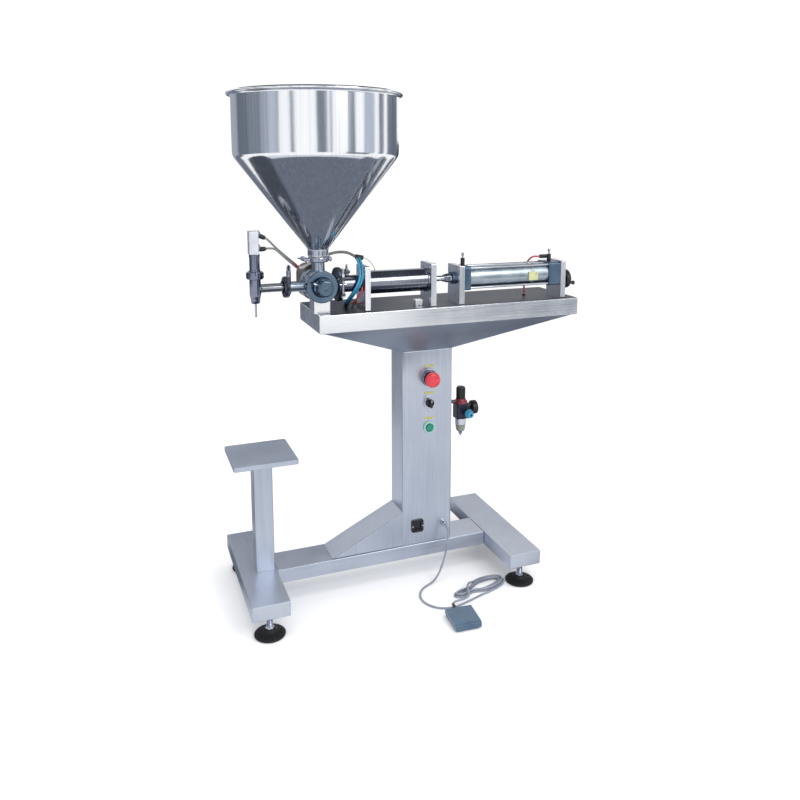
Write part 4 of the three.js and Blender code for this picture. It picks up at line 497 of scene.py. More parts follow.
def slab(outline, axis, low, high, corner=0.0, holes=(), edge=0.6):
    """Extrudes an outline of (u, v) points. u and v are Y and Z, X and Z, or X and Y."""
    shape = bmesh.new()
    verts = [shape.verts.new((u, v, low)) for u, v in outline]
    shape.faces.new(verts)
    if corner:
        bevel(shape, verts, corner, 5, "VERTICES")
    if holes:
        bmesh.ops.delete(shape, geom=list(shape.faces), context="FACES_ONLY")
        for u, v, radius in holes:
            bmesh.ops.create_circle(shape, segments=40, radius=radius, matrix=Matrix.Translation((u, v, low)))
        bmesh.ops.triangle_fill(shape, edges=list(shape.edges), use_beauty=True, normal=(0, 0, 1))
    grown = bmesh.ops.extrude_face_region(shape, geom=list(shape.faces), use_keep_orig=True)
    top = [item for item in grown["geom"] if isinstance(item, bmesh.types.BMVert)]
    bmesh.ops.translate(shape, vec=(0, 0, high - low), verts=top)
    bmesh.ops.recalc_face_normals(shape, faces=shape.faces)
    if edge:
        soften(shape, edge)
    return moved(shape, DRAWN[axis])


def gather(*shapes):
    whole = bmesh.new()
    for shape in shapes:
        sheet = bpy.data.meshes.new("sheet")
        shape.to_mesh(sheet)
        shape.free()
        whole.from_mesh(sheet)
        bpy.data.meshes.remove(sheet)
    return whole


# %% [markdown]
# Every finished piece goes through one door. It joins what was drawn, turns
# millimetres into the scene's metres, marks the sharp edges, names the finish
# and says which CAD body the piece rides on and which CAD nodes it stands for.

# %% Make a piece
def make(name, shapes, finish, body="machine", replaces=()):
    whole = gather(*shapes)
    bmesh.ops.recalc_face_normals(whole, faces=whole.faces)
    bmesh.ops.scale(whole, vec=(MM, MM, MM), verts=whole.verts)
    bmesh.ops.translate(whole, vec=ORIGIN, verts=whole.verts)
    for face in whole.faces:
        face.smooth = True
    mesh = bpy.data.meshes.new(name)
    whole.to_mesh(mesh)
    whole.free()
    mesh.set_sharp_from_angle(angle=math.radians(50))
    mesh.materials.append(finish)
    piece = bpy.data.objects.new(name, mesh)
    bpy.context.collection.objects.link(piece)
    even = piece.modifiers.new("even_shading", "WEIGHTED_NORMAL")
    even.keep_sharp = True
    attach(piece, body)
    if replaces:
        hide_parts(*replaces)
    print(name, len(mesh.polygons), "faces")


def bolts(centre, axis, radius, count, start, head, height, way=1):
    """Screw heads on a circle, each with a sunk socket. With way -1 they point down the axis."""
    screws, floor_of_socket, chamfer = [], 0.35 * height, 0.85
    for number in range(count):
        angle = math.radians(start) + number * 2 * math.pi / count
        screw = lathe([(0, floor_of_socket), (0.45 * head, floor_of_socket), (0.5 * head, height),
                       (chamfer * head, height), (head, chamfer * height), (head, 0), (0, 0)], steps=18)
        shifted(screw, radius * math.cos(angle), radius * math.sin(angle))
        if way < 0:
            rotated(screw, 180, "X")
        screws.append(moved(screw, Matrix.Translation(centre) @ TURNED[axis]))
    return screws


# %% [markdown]
# ## The stand
# Three folded stainless beams make an H on the floor: one under the platform
# post, one across under the right-hand side, and one between them. Each is a
# closed box with a small bend radius and a welded, dressed joint. A bevelled
# block has the bend radius, and a thin raised bead stands for the weld.

# %% Floor beams
beam_low, beam_high = 58, 97.5
foot_half_width, foot_half_length, bend = 48.5, 205, 4
for side, centre in (("left", -482), ("right", 231)):
    beam = block((centre - foot_half_width, -foot_half_length, beam_low),
                 (centre + foot_half_width, foot_half_length, beam_high), bend, "Z", 1.6)
    make(side + "_floor_beam", [beam], brushed_y, replaces=[side + "_foot_beam"])

middle = block((-433.2, -49, beam_low), (182.2, 49, beam_high), 0, "Z", 2.2)
make("middle_floor_beam", [middle], brushed_x, replaces=["base_beam"])

# A weld's ripples are 2.2 mm apart and scatter the light, so a bead looks dull.
weld_bead = ground_steel("dressed_weld_bead", "#8E94A2", "#B4BAC7", (2.2, 2.2, 2.2), (0.3, 0.45), 0.12)
for number, x in enumerate((-433.4, 182.4)):
    bead_line = [(x, -48, beam_high - 0.5), (x, 0, beam_high - 0.3), (x, 48, beam_high - 0.5)]
    tube(f"floor_weld_{number}", bead_line, 1.1, weld_bead)

# %% [markdown]
# The column is one tall folded box, and a wedge of the same sheet runs from
# its left side down onto the middle beam, to take the pull of the hopper that
# hangs out over it. The wedge is drawn as an outline and extruded.

# %% Column and its wedge
column_top, column_half_depth = 662, 46
box_column = block((-75, -column_half_depth, 97.8), (75, column_half_depth, column_top), 5, "Z", 1.0)
wedge = slab([(-281.5, 97.8), (-72, 97.8), (-72, 200.5)], "Y", -column_half_depth, column_half_depth, 0,
             edge=2.2)
make("column_with_wedge", [box_column, wedge], brushed_z, replaces=["column"])

# %% [markdown]
# The container stands on a small square platform on its own post. The
# platform is a sheet folded down on four sides, so its underside is open. One
# function pushes the lowest face along an axis into a block, inside a wall.

# %% Platform and post
def hollowed(shape, axis, wall, depth):
    way = "XYZ".index(axis)
    mouth = min(shape.faces, key=lambda face: face.calc_center_median()[way])
    bmesh.ops.inset_region(shape, faces=[mouth], thickness=wall)
    pushed = bmesh.ops.extrude_face_region(shape, geom=[mouth])
    inner = [item for item in pushed["geom"] if isinstance(item, bmesh.types.BMVert)]
    bmesh.ops.delete(shape, geom=[mouth], context="FACES_ONLY")
    bmesh.ops.translate(shape, vec=Matrix.Identity(3)[way] * depth, verts=inner)
    return shape


post_x, post_y, platform_top = -463.5, -16, 419.5
platform_block = block((post_x - 83, post_y - 82.5, platform_top - 13),
                       (post_x + 83, post_y + 82.5, platform_top),
                       6, "Z", 1.2)
platform_sheet = hollowed(platform_block, "Z", 2, 11)
make("platform_sheet", [platform_sheet], platform_painted_light, replaces=["platform"])
post = block((post_x - 25, post_y - 25, 97.8), (post_x + 25, post_y + 25, platform_top - 6), 4, "Z", 0)
flange = block((post_x - 55, post_y - 55, platform_top - 6.3),
               (post_x + 55, post_y + 55, platform_top - 2.3), 3, "Z", 0.6)
make("post_with_flange", [post, flange], brushed_z, replaces=["platform_post"])

# %% [markdown]
# Four levelling feet screw into the beams. Each is a steel spindle with a
# lock nut, ball-jointed into a moulded rubber pad, so it is made as two turned
# pieces that ride on the same CAD body.

# %% Levelling feet
pad_profile = [(0, 0), (34.5, 0), (37.5, 0.8), (39.5, 2.6), (39.5, 4.6), (38.2, 6.0), (30, 8.2), (20, 11.2),
               (16, 13.2), (14.5, 17), (12, 19.5), (0, 19.5)]
pad_ribs = 12
stem_low, stem_high, stem_radius, stem_pitch = 19.5, 80, 8, 2


def thread_profile(low, high, radius, pitch, depth=0.8):
    """A stack of V grooves reads as a thread and stays light."""
    profile, height = [(0, low), (radius - depth, low)], low
    while height + pitch <= high - 1:
        profile += [(radius, height + 0.35 * pitch), (radius, height + 0.65 * pitch),
                    (radius - depth, height + pitch)]
        height += pitch
    return [*profile, (radius - depth, high), (0, high)]


def fan(low, high, count, spacing, axis, edge=0.3, start=0):
    """Copies of a small block set round an axis through zero, so many degrees apart."""
    return [rotated(block(low, high, edge=edge), start + index * spacing, axis) for index in range(count)]


for number in range(1, 5):
    name = f"levelling_foot_{number}"
    low, high = (Vector(corner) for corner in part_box(name))
    x, y, _ = ((low + high) / 2 - ORIGIN) / MM
    pad = lathe(pad_profile, "Z", (x, y, 0), 64)
    ribs = [shifted(rib, x, y) for rib in fan((17, -1.2, 9), (31, 1.2, 10.3), pad_ribs, 360 / pad_ribs, "Z")]
    make(name + "_pad", [pad, *ribs], foot_rubber, f"foot_{number}", [name])
    stem = lathe(thread_profile(stem_low, stem_high, stem_radius, stem_pitch), "Z", (x, y, 0), 24)
    socket = lathe([(0, 17), (11.5, 17), (11.5, 21), (9.5, 25), (0, 25)], "Z", (x, y, 0), 6, 0.5)
    nut = hexagon(13, 47.7, 57.4, "Z", (x, y, 0), 0.8)
    make(name + "_spindle", [stem, socket, nut], turned_z, f"foot_{number}")
    print(name, "at", round(x, 1), round(y, 1))

# %% [markdown]
# ## The tray
# The tray carries the whole filling gear. A folded skirt stands round a flat
# top, and below it four sheets slope in to the column like a funnel. The
# funnel is a cube whose top corners are moved out to the skirt, which keeps
# its sides flat; the skirt laps over it with a small lip. The top is duller
# than the skirt and painted dark as painted shade, so it is a plate of its
# own. The funnel is painted darker as painted shade, and the skirt lighter
# as painted light.

# %% Tray, funnel and top
tray_left, tray_right, tray_half_depth = -321.5, 441, 107
skirt_low, tray_top, lip = 744.2, 792.5, 4
skirt = block((tray_left, -tray_half_depth, skirt_low), (tray_right, tray_half_depth, tray_top - 0.4), 4,
              "Z", 1.5)
funnel = bmesh.new()
bmesh.ops.create_cube(funnel, size=2)
for vert in funnel.verts:
    up = vert.co.z > 0
    across = (tray_right - lip if vert.co.x > 0 else tray_left + lip) if up else math.copysign(74.8,
                                                                                               vert.co.x)
    deep = math.copysign(tray_half_depth - lip if up else column_half_depth - 0.2, vert.co.y)
    vert.co = (across, deep, skirt_low + 1 if up else column_top + 0.3)
slopes = [edge for edge in funnel.edges if abs(edge.verts[0].co.z - edge.verts[1].co.z) > 1]
bevel(funnel, slopes, 4, 4)
make("tray_skirt", [skirt], tray_skirt_painted_light, replaces=["tray"])
make("tray_funnel", [funnel], funnel_painted_shade, replaces=["tray"])
top_plate = block((tray_left + 2.5, -tray_half_depth + 2.5, tray_top - 0.9),
                  (tray_right - 2.5, tray_half_depth - 2.5, tray_top), 3, "Z", 0.3)
make("tray_top_plate", [top_plate], tray_top_painted_shade)
print("tray", tray_right - tray_left, "by", 2 * tray_half_depth, "mm")

# %% [markdown]
# ## The hopper
# The hopper holds about thirty litres. A rolled wall meets a spun cone in a
# small radius, the rim is curled outward over a wire, and a short neck ends
# in a ferrule for the sanitary clamp. All of it is 2 mm sheet, so the profile
# runs up the outside and back down the inside as one closed line.

# %% Hopper
hopper_x, axis_y, axis_z = -310, -57, 863
wall_radius, rim_radius, rim_height, sheet = 206, 4.5, 1337.5, 2
knuckle_top, knuckle_low, cone_low, neck_radius = 1199.5, 1179.5, 956.5, 26
cone_slope = (wall_radius - neck_radius) / (1189.5 - cone_low)
knuckle_radius = neck_radius + (knuckle_low - cone_low) * cone_slope
rim = [(wall_radius + 6.5 + rim_radius * math.cos(a), rim_height + rim_radius * math.sin(a))
       for a in (math.radians(step) for step in range(-90, 91, 15))]
hopper_profile = [
    (14, 930.3), (22, 930.3), (22, 933.3), (17.5, 934.8), (16.5, 936), (16.5, 938), (24.5, 938.2), (26, 940),
    (neck_radius, cone_low - 2), (neck_radius + 1, cone_low + 1),
    (knuckle_radius, knuckle_low), (wall_radius - 3.2, knuckle_low + 6.4),
    (wall_radius - 0.9, knuckle_low + 12.2),
    (wall_radius, knuckle_top), (wall_radius, 1328), (wall_radius + 1.6, 1332), (wall_radius + 3.6, 1333),
    *rim,
    (wall_radius - 0.6, 1341.2), (wall_radius - sheet, 1338.5), (wall_radius - sheet, knuckle_top),
    (wall_radius - 3.0, knuckle_low + 12.2), (wall_radius - 5.2, knuckle_low + 6.4),
    (knuckle_radius - 2.4, knuckle_low + 0.8), (neck_radius - 1.4, cone_low + 2.4),
    (neck_radius - sheet, cone_low - 1),
    (neck_radius - sheet, 940), (15, 939.4), (14, 938), (14, 930.3),
]
hopper_shell = lathe(hopper_profile, "Z", (hopper_x, axis_y, 0), 144)
make("hopper_shell", [hopper_shell], hopper_steel, replaces=["hopper"])

seam_side = math.radians(63)
seams = {
    "wall": [(wall_radius + 0.15, 1330), (wall_radius + 0.15, 1265), (wall_radius + 0.15, knuckle_top)],
    "cone": [(knuckle_radius, knuckle_low), ((knuckle_radius + neck_radius) / 2,
                                             (knuckle_low + cone_low) / 2),
             (neck_radius + 1.5, cone_low + 2)],
}
for name, seam in seams.items():
    bead_line = [(hopper_x + r * math.cos(seam_side), axis_y + r * math.sin(seam_side), z) for r, z in seam]
    tube(f"hopper_{name}_seam", bead_line, 0.8, weld_bead)
neck_bead = lathe([(neck_radius - 0.4, cone_low - 1.2), (neck_radius + 0.9, cone_low - 0.8),
                   (neck_radius + 1.6, cone_low + 0.6),
                   (neck_radius + 0.8, cone_low + 1.8), (neck_radius - 0.4, cone_low - 1.2)], "Z",
                   (hopper_x, axis_y, 0), 64)
make("hopper_neck_weld", [neck_bead], weld_bead)
neck_sleeve = collar(neck_radius + 0.5, neck_radius - 0.5, 941, cone_low - 2, "Z", (hopper_x, axis_y, 0),
                     0.3, 72)
make("hopper_neck_sleeve", [neck_sleeve], turned_z)

# %% [markdown]
# ## Sanitary clamps
# Food pipework is joined by ferrules: two flat-faced collars with a wedge
# behind each, squeezed by a hinged two-piece clamp and one wing nut, so that
# it comes apart by hand for washing. The clamp is a ring with a V inside, a
# link with two pins on one side and two ears with an eye bolt on the other.
# One function draws it at the origin with its pipe upright, and each copy is
# turned to its pipe.

# %% Clamp and wing nut
clamp_half, groove_half, band = 6.45, 3.45, 4
ear_reach, bolt_reach, nut_face = 15, 30, 13


def clamp_shapes(ferrule, cheek, bush):
    inner = ferrule + 0.3
    outer = inner + band
    ring = lathe([(cheek, -clamp_half), (outer - 1.6, -clamp_half), (outer - 0.2, -groove_half - 1),
                  (outer, 0),
                  (outer - 0.2, groove_half + 1), (outer - 1.6, clamp_half), (cheek, clamp_half),
                  (inner, groove_half),
                  (inner, -groove_half), (cheek, -clamp_half)], steps=64)
    bolt_x = -outer - ear_reach / 2
    ears = [block((bolt_x - 7.5, low, -groove_half), (-inner - 0.5, low + 10, groove_half), 2.6, "Z", 0.8)
            for low in (-nut_face, nut_face - 10)]
    link = block((outer - 2.2, -nut_face, -groove_half), (outer + 7.5, nut_face, groove_half), 2.6, "Z", 0.8)
    pins = [bar(2.2, -clamp_half, clamp_half, "Z", (outer + 4, y, 0), 0.5, 20) for y in (-8, 8)]
    pins.append(bar(2.2, -clamp_half, clamp_half, "Z", (bolt_x, 8, 0), 0.5, 20))
    eye = collar(5.2, 2.3, -2.6, 2.6, "Z", (bolt_x, 8, 0), 0.5, 28)
    bolt = moved(lathe(thread_profile(-bolt_reach - nut_face - bush, 4, 2.9, 1.6, 0.5), steps=20),
                 Matrix.Translation((bolt_x, 0, 0)) @ TURNED["Y"])
    spacer = [collar(5.6, 3.0, -nut_face - bush, -nut_face, "Y", (bolt_x, 0, 0), 0.8, 32)] if bush else []
    return [ring, *ears, link, *pins, eye, bolt, *spacer]


def wing_nut_shapes(ferrule, bush, turn):
    bolt_x = -(ferrule + 0.3 + band) - ear_reach / 2
    face = nut_face + 0.3 + bush
    hub = collar(6, 3.5, -face - 16, -face, "Y", (0, 0, 0), 0.8, 32)
    wings = []
    for side in (1, -1):
        outline = [(side * 3.6, -face - 4), (side * 6.4, -face - 5), (side * 8.2, -face - 12),
                   (side * 11, -face - 22),
                   (side * 10.6, -face - 25.6), (side * 8.4, -face - 26.9), (side * 6.4, -face - 24),
                   (side * 3.9, -face - 13)]
        wings.append(slab(outline, "Z", -1.6, 1.6, edge=0.9))
    return [shifted(rotated(shape, turn, "Y"), bolt_x) for shape in (hub, *wings)]


hopper_face, outlet_face = 930.15, -395
hopper_joint = Matrix.Translation((hopper_x, axis_y, hopper_face)) @ Matrix.Rotation(math.pi, 4, "X")
outlet_joint = (Matrix.Translation((outlet_face, axis_y, axis_z)) @ Matrix.Rotation(math.radians(-90), 4, "Y")
                @ Matrix.Rotation(math.radians(90), 4, "Z"))
for name, joint, ferrule, cheek, nut_body, bush, turn, finish in (
        ("hopper_clamp", hopper_joint, 22, 19.5, "hopper_nut", 0, 0, clamp_steel),
        ("outlet_clamp", outlet_joint, 23, 16.5, "outlet_nut", 17, 35, clamp_painted_dark_reflection)):
    make(name + "_hinged", [moved(shape, joint) for shape in clamp_shapes(ferrule, cheek, bush)], finish,
         replaces=[name])
    make(name + "_wing_nut", [moved(shape, joint) for shape in wing_nut_shapes(ferrule, bush, turn)],
         clamp_steel,
         nut_body, [name + "_nut"])

# %% [markdown]
# ## The rotary valve
# A three-way plug valve turns between filling the cylinder from the hopper
# and pushing the dose to the nozzle. Its body is turned from bar, with a
# flange at each end, a neck up to the hopper, one left to the nozzle and a
# wide one right to the cylinder. The front cover holds the plug, whose boss
# shows in its middle. All are lathe shapes on crossing axes, and bolts and a
# foot block finish them.

# %% Valve body, cover and plug
valve_centre, pipe_cross = (hopper_x, 0, axis_z), (hopper_x, axis_y, axis_z)
bore = (0, axis_y, axis_z)
valve_drum = lathe([(0, -88), (41, -88), (41, -78), (36, -77), (36, -27), (41, -26), (41, -16), (0, -16)],
                   "Y", valve_centre, 96, 0.8)
hopper_branch = lathe([(0, 20), (19.5, 33), (16.5, 38), (16.5, 62), (18, 64), (22, 64), (22, 67), (0, 67)],
                      "Z", pipe_cross, 64, 0.5)
nozzle_branch = lathe([(0, 20), (17, 32), (13.5, 38), (13.5, 79.5), (16, 81.85), (23, 81.85), (23, 84.85),
                       (0, 84.85)],
                      "X", steps=64, edge=0.5)
shifted(rotated(nozzle_branch, 180, "Z"), *pipe_cross)
cylinder_branch = lathe([(0, 20), (26, 26), (22, 33), (22, 46), (34, 47.85), (40, 47.85), (40, 50.85),
                         (0, 50.85)],
                        "X", pipe_cross, 96, 0.5)
flange_bolts = bolts((hopper_x, -26, axis_z), "Y", 38.5, 6, 30, 2.6, 2.4, -1)
make("valve_body_turned", [valve_drum, hopper_branch, nozzle_branch, cylinder_branch, *flange_bolts],
     turned_y, replaces=["valve_body"])
foot_block = block((hopper_x - 18.5, axis_y - 25, tray_top), (hopper_x + 24, axis_y + 25, axis_z - 33), 2,
                   "Z", 1.0)
make("valve_foot_block", [foot_block], bright_plate)

cover = lathe([(22.5, -88.3), (41, -88.3), (41, -95.6), (39.5, -97.3), (27, -97.3), (24.5, -96.2),
               (22.5, -94), (22.5, -88.3)],
              "Y", valve_centre, 96, 0.4)
make("valve_cover_ring", [cover], cover_painted_shade, replaces=["valve_cover"])
plug = lathe([(0, -130.3), (16.5, -130.3), (19, -129.4), (20.4, -127), (20.6, -109), (24.4, -106.6),
              (24.6, -100), (21.6, -98.4), (20.5, -80), (0, -80)],
             "Y", valve_centre, 72, 0.6)
plug_face = lathe([(0, -130.9), (3, -130.9), (4, -130.3), (4, -129), (0, -129)], "Y", valve_centre, 40)
plug_pin = lathe([(0, 20), (2.8, 20), (2.8, 25.4), (3.6, 26), (3.6, 29.4), (2.4, 30.6), (0, 30.8)], "X",
                 steps=28)
shifted(rotated(plug_pin, -155, "Y"), hopper_x, -113, axis_z)
make("valve_plug_boss", [plug, plug_face], cover_painted_shade, "rotor", ["valve_rotor"])
make("valve_plug_pin", [plug_pin], chrome_rod, "rotor")

# %% [markdown]
# Behind the valve an air actuator turns the plug: a dark painted casting
# with rounded corners, two end caps and the heads of four long screws.

# %% Valve actuator
actuator = [block((hopper_x - 30, -12, 818), (hopper_x + 32, 64, 908), 26, "Y", 1.6),
            block((hopper_x - 28.5, -15.7, 820), (hopper_x + 31, -11.4, 906), 25, "Y", 1.0),
            block((hopper_x - 28.5, 63.4, 820), (hopper_x + 31, 68.3, 906), 25, "Y", 1.0)]
cap_screws = bolts((hopper_x, 66, axis_z), "Y", 32, 4, 58, 3, 2.2)
make("actuator_casting", [*actuator, *cap_screws], dark_enamel, replaces=["valve_actuator"])

# %% [markdown]
# ## The filling nozzle
# The nozzle is a polished upright tube that takes the dose from the side. A
# small air cylinder on top lifts a needle to open it, and a yoke, which is a
# short tube between two rings, holds the cylinder clear of the product. The
# tip is a thin tube. The needle moves on its own body, so the yoke is hollow.

# %% Nozzle body and tip
nozzle_x = -472
nozzle = (nozzle_x, axis_y, 0)
nozzle_profile = [(0, 826), (9.4, 826), (10.8, 828), (11.6, 835), (12.6, 842), (14, 848), (14, 884),
                  (14, 896.35), (0, 896.35)]
pipe = lathe([(0, 0), (11, 0), (11, 73.6), (15, 73.85), (23, 73.85), (23, 76.85), (0, 76.85)], "X",
             (nozzle_x, axis_y, axis_z), 56, 0.5)
saddle = lathe([(11, 12), (13.6, 12), (12.4, 14.4), (11, 15.8)], "X", (nozzle_x, axis_y, axis_z), 56)
make("nozzle_tube", [lathe(nozzle_profile, "Z", nozzle, 72, 0.4)], nozzle_steel,
     replaces=["nozzle_body"])
make("nozzle_side_pipe", [pipe, saddle], pipe_steel, replaces=["nozzle_body"])
tip = lathe([(1.4, 791), (2.2, 791), (2.7, 793), (2.7, 824.5), (4.6, 825.9), (1.4, 825.9), (1.4, 791)], "Z",
            nozzle, 32)
make("nozzle_tip_tube", [tip], turned_z, replaces=["nozzle_tip"])

clamp_ring = collar(19.5, 14.3, 887, 906, "Z", nozzle, 1.6, 64)
clamp_lugs = [block((x - 6, axis_y - 7, 888.5), (x + 6, axis_y + 7, 904.5), 2.5, "Y", 1.2)
              for x in (nozzle_x - 15, nozzle_x + 15)]
clamp_screws = [bar(2.4, -9.5, 9.5, "Y", (x, axis_y, 896.5), 0.6, 20) for x in (nozzle_x - 16.4,
                                                                                nozzle_x + 16.4)]
make("nozzle_clamp_lugs", clamp_lugs, black_nylon, replaces=["nozzle_clamp"])
make("nozzle_clamp_band", [clamp_ring, *clamp_screws], nozzle_steel,
     replaces=["nozzle_clamp"])

# %% Yoke, lift cylinder and needle
yoke_low, yoke_top = 896.7, 948.5
yoke = [collar(14, 3.6, yoke_low, 911, "Z", nozzle, 0.6, 56),
        collar(13.5, 3.6, yoke_top - 6, yoke_top, "Z", nozzle, 0.6, 56),
        collar(12.9, 10.6, 910, 944, "Z", nozzle, 0.4, 64)]
make("nozzle_yoke_tube", yoke, nozzle_steel, replaces=["nozzle_yoke"])

block_left, block_right, block_half_depth, block_top = nozzle_x - 14, nozzle_x + 9.6, 12.5, 1006.8
cylinder_block = block((block_left, axis_y - block_half_depth, yoke_top + 0.3),
                       (block_right, axis_y + block_half_depth, block_top), 2, "Z", 1.0)
block_cap = block((block_left + 2, axis_y - block_half_depth + 2, block_top - 1.4),
                  (block_right - 2, axis_y + block_half_depth - 2, block_top), 2, "Z", 0.3)
make("lift_cylinder_block", [cylinder_block, block_cap], anodised, replaces=["nozzle_cylinder"])
for name, height, dip in (("lower", 960.8, -4), ("upper", 994.8, 24)):
    nut = lathe([(0, 13), (6, 13), (6, 17), (4.6, 17.4), (4.6, 18.6), (0, 18.6)], "X", steps=6, edge=0.5)
    cap = lathe([(0, 0), (5, 0), (5, 8), (4.2, 9), (2.2, 9.4), (2.2, 12), (0, 12)], "Z", (16, 0, 1), 28)
    fitting = lathe([(0, 0), (5.4, 0), (5.8, 1.5), (5.8, 11), (5.2, 13), (4.4, 15.5), (3.6, 16.4),
                     (3.0, 16.4),
                     (3.0, 13), (0, 13)], "X", steps=32)
    shifted(rotated(fitting, dip, "Y"), 18)
    for shape in (nut, cap, fitting):
        shifted(shape, nozzle_x - 5, axis_y, height)
    make(f"{name}_fitting_nut", [nut, cap], clamp_steel)
    make(f"{name}_pushin_fitting", [fitting], black_nylon)

needle = lathe([(0, 834.6), (2.2, 837.5), (3, 843), (3, 950.8), (8.5, 951.4), (8.5, 966.2), (0, 966.8)],
               "Z", nozzle, 40, 0.3)
make("lift_needle", [needle], chrome_rod, "needle", ["nozzle_needle"])

# %% [markdown]
# ## The cylinders' plates
# Four upright plates stand on the tray and hold both cylinders in line. They
# are bright satin stainless with every edge broken. The three that the tube
# and the rods pass have real holes, because what slides there must not cut
# metal: the outline and the hole are two loops, filled between and extruded.
# The front one's passage would be hidden by its neck, so it stays whole here.

# %% Plates
plate_corner, plate_front, plate_back, screw_inset = 3, axis_y - 38.5, axis_y + 38.5, 9


def plate(name, node, left, right, top, hole):
    outline = [(plate_front, tray_top), (plate_back, tray_top), (plate_back, top), (plate_front, top)]
    holes = [(axis_y, axis_z, hole)] if hole else []
    body = slab(outline, "X", left, right, plate_corner, holes, 0.9)
    screws = [shape for y in (plate_front + screw_inset, plate_back - screw_inset)
              for shape in bolts((left, y, top - screw_inset), "X", 0, 1, 0, 3.2, 0.6, -1)]
    make(name, [body, *screws], bright_plate, replaces=[node])


plate("front_plate_bored", "front_plate", -196.5, -181.5, 908.8, 0)
plate("rear_plate_bored", "rear_plate", -11.9, 3.1, 908.8, 30.2)
plate("drive_plate_bored", "drive_plate", 70.7, 85.7, 898.8, 17.4)
plate("end_plate_bored", "end_plate", 388, 403, 898.8, 8)

front_neck = lathe([(0, 1.15), (40, 1.15), (40, 4.15), (33, 4.6), (22, 7), (22, 62), (24, 64), (0, 64)],
                   "X", (hopper_x + 50, axis_y, axis_z), 96, 0.5)
make("front_plate_neck", [front_neck], turned_x)

# %% [markdown]
# The big joint between valve and cylinder has a heavier clamp of cast
# stainless, painted dark as a painted dark reflection. A plain bolt and nut
# close it at the front, and an ear on top carries a wing nut.

# %% Cylinder clamp
joint_x = -259
band_ring = lathe([(26, -6.45), (42.6, -6.45), (44.1, -4.2), (44.3, 0), (44.1, 4.2), (42.6, 6.45),
                   (26, 6.45), (40.3, 3.45),
                   (40.3, -3.45), (26, -6.45)], "X", (joint_x, axis_y, axis_z), 96)
bolt_y = axis_y - 47.3
lugs = [block((joint_x - 5.4, bolt_y - 6, axis_z + low), (joint_x + 5.4, axis_y - 40.6, axis_z + low + 7),
              2, "Z", 0.8)
        for low in (-24, 17)]
make("cylinder_clamp_band", [band_ring, *lugs], clamp_painted_dark_reflection, replaces=["cylinder_clamp"])
clamp_bolt = moved(lathe(thread_profile(-22, 48, 3, 1.6, 0.5), steps=20),
                   Matrix.Translation((joint_x, bolt_y, axis_z)))
bolt_head = hexagon(5.6, -28, -24, "Z", (joint_x, bolt_y, axis_z), 0.5)
bolt_nut = hexagon(6, 24, 32, "Z", (joint_x, bolt_y, axis_z), 0.7)
latch_pin = bar(2.6, joint_x - 8.5, joint_x + 11, "X", (0, axis_y - 45.4, axis_z + 5), 0.8, 24)
make("cylinder_clamp_bolt", [clamp_bolt, bolt_head, bolt_nut, latch_pin], chrome_rod)
ear_x = joint_x + 24
top_ear = block((joint_x - 2, axis_y - 8, axis_z + 27), (ear_x + 8, axis_y + 8, axis_z + 34), 3, "Z", 1.0)
ear_bolt = moved(lathe(thread_profile(22, 50, 3, 1.6, 0.5), steps=20),
                 Matrix.Translation((ear_x, axis_y, axis_z)))
ear_nuts = [hexagon(6, low, low + 4.6, "Z", (ear_x, axis_y, axis_z), 0.7) for low in (22.2, 34.2)]
# This ferrule radius puts the wing nut's own axis at zero.
centred = -0.3 - band - ear_reach / 2
ear_wings = [rotated(shape, 90, "X") for shape in wing_nut_shapes(centred, 0, 20)]
for shape in ear_wings:
    shifted(shape, ear_x, axis_y, axis_z + 25.6)
make("cylinder_clamp_ear", [top_ear], clamp_painted_dark_reflection)
make("cylinder_clamp_wing_nut", [ear_bolt, *ear_nuts, *ear_wings], clamp_steel)
rest_block = block((-46, axis_y - 9, tray_top), (-24, axis_y + 9, tray_top + 17), 2, "Z", 1.0)
make("tube_rest_block", [rest_block], bright_plate)

# %% [markdown]
# ## Product cylinder and piston
# The measuring cylinder is a honed stainless tube with a collar at each end.
# Its piston carries two seals, and a chromed rod joins it through a hexagon
# coupling to the air piston behind, so the pistons and rod are one body.

# %% Product cylinder, piston and rod
tube_wall = lathe([(25.5, -184.2), (30.5, -184.2), (30.5, -9.2), (25.5, -9.2), (25.5, -184.2)], "X", bore, 96)
make("product_tube", [tube_wall], turned_x, replaces=["product_cylinder"])
end_collars = [collar(33.2, 30.5, low, low + 5, "X", bore, 0.8, 96) for low in (-181.4, -17.2)]
make("product_tube_collars", end_collars, turned_x)
piston = lathe([(0, -47.9), (24.4, -47.9), (25.2, -47.1), (25.2, -42), (23.4, -42), (23.4, -37),
                (25.2, -37), (25.2, -31),
                (23.4, -31), (23.4, -26), (25.2, -26), (25.2, -20.6), (24.4, -19.9), (7.5, -19.9),
                (7.5, 44), (0, 44)],
               "X", bore, 72)
coupling = hexagon(12.5, 44.2, 61.2, "X", bore, 1.0)
lock = hexagon(10.4, 37.5, 43.6, "X", bore, 0.7)
make("product_piston_and_rod", [piston, coupling, lock], chrome_rod, "stroke_rod",
     ["product_piston"])
seals = [lathe([(23.2, low), (25.3, low + 0.8), (25.3, low + 3.8), (23.2, low + 4.6), (23.2, low)], "X",
               bore, 72)
         for low in (-41.8, -30.8)]
make("product_piston_seals", seals, foot_rubber, "stroke_rod")

# %% [markdown]
# ## The air cylinder
# A standard air cylinder drives the piston: two square end blocks, a drawn
# barrel between them and four tie rods that pull them together. Small black
# speed controls with needles stand on both blocks.

# %% Air cylinder
cap_half, rod_hole = 33, 8


def end_block(left, right):
    outline = [(axis_y + side * cap_half, axis_z + up * cap_half) for side,
               up in ((-1, -1), (1, -1), (1, 1), (-1, 1))]
    return slab(outline, "X", left, right, 6, [(axis_y, axis_z, rod_hole)], 1.2)


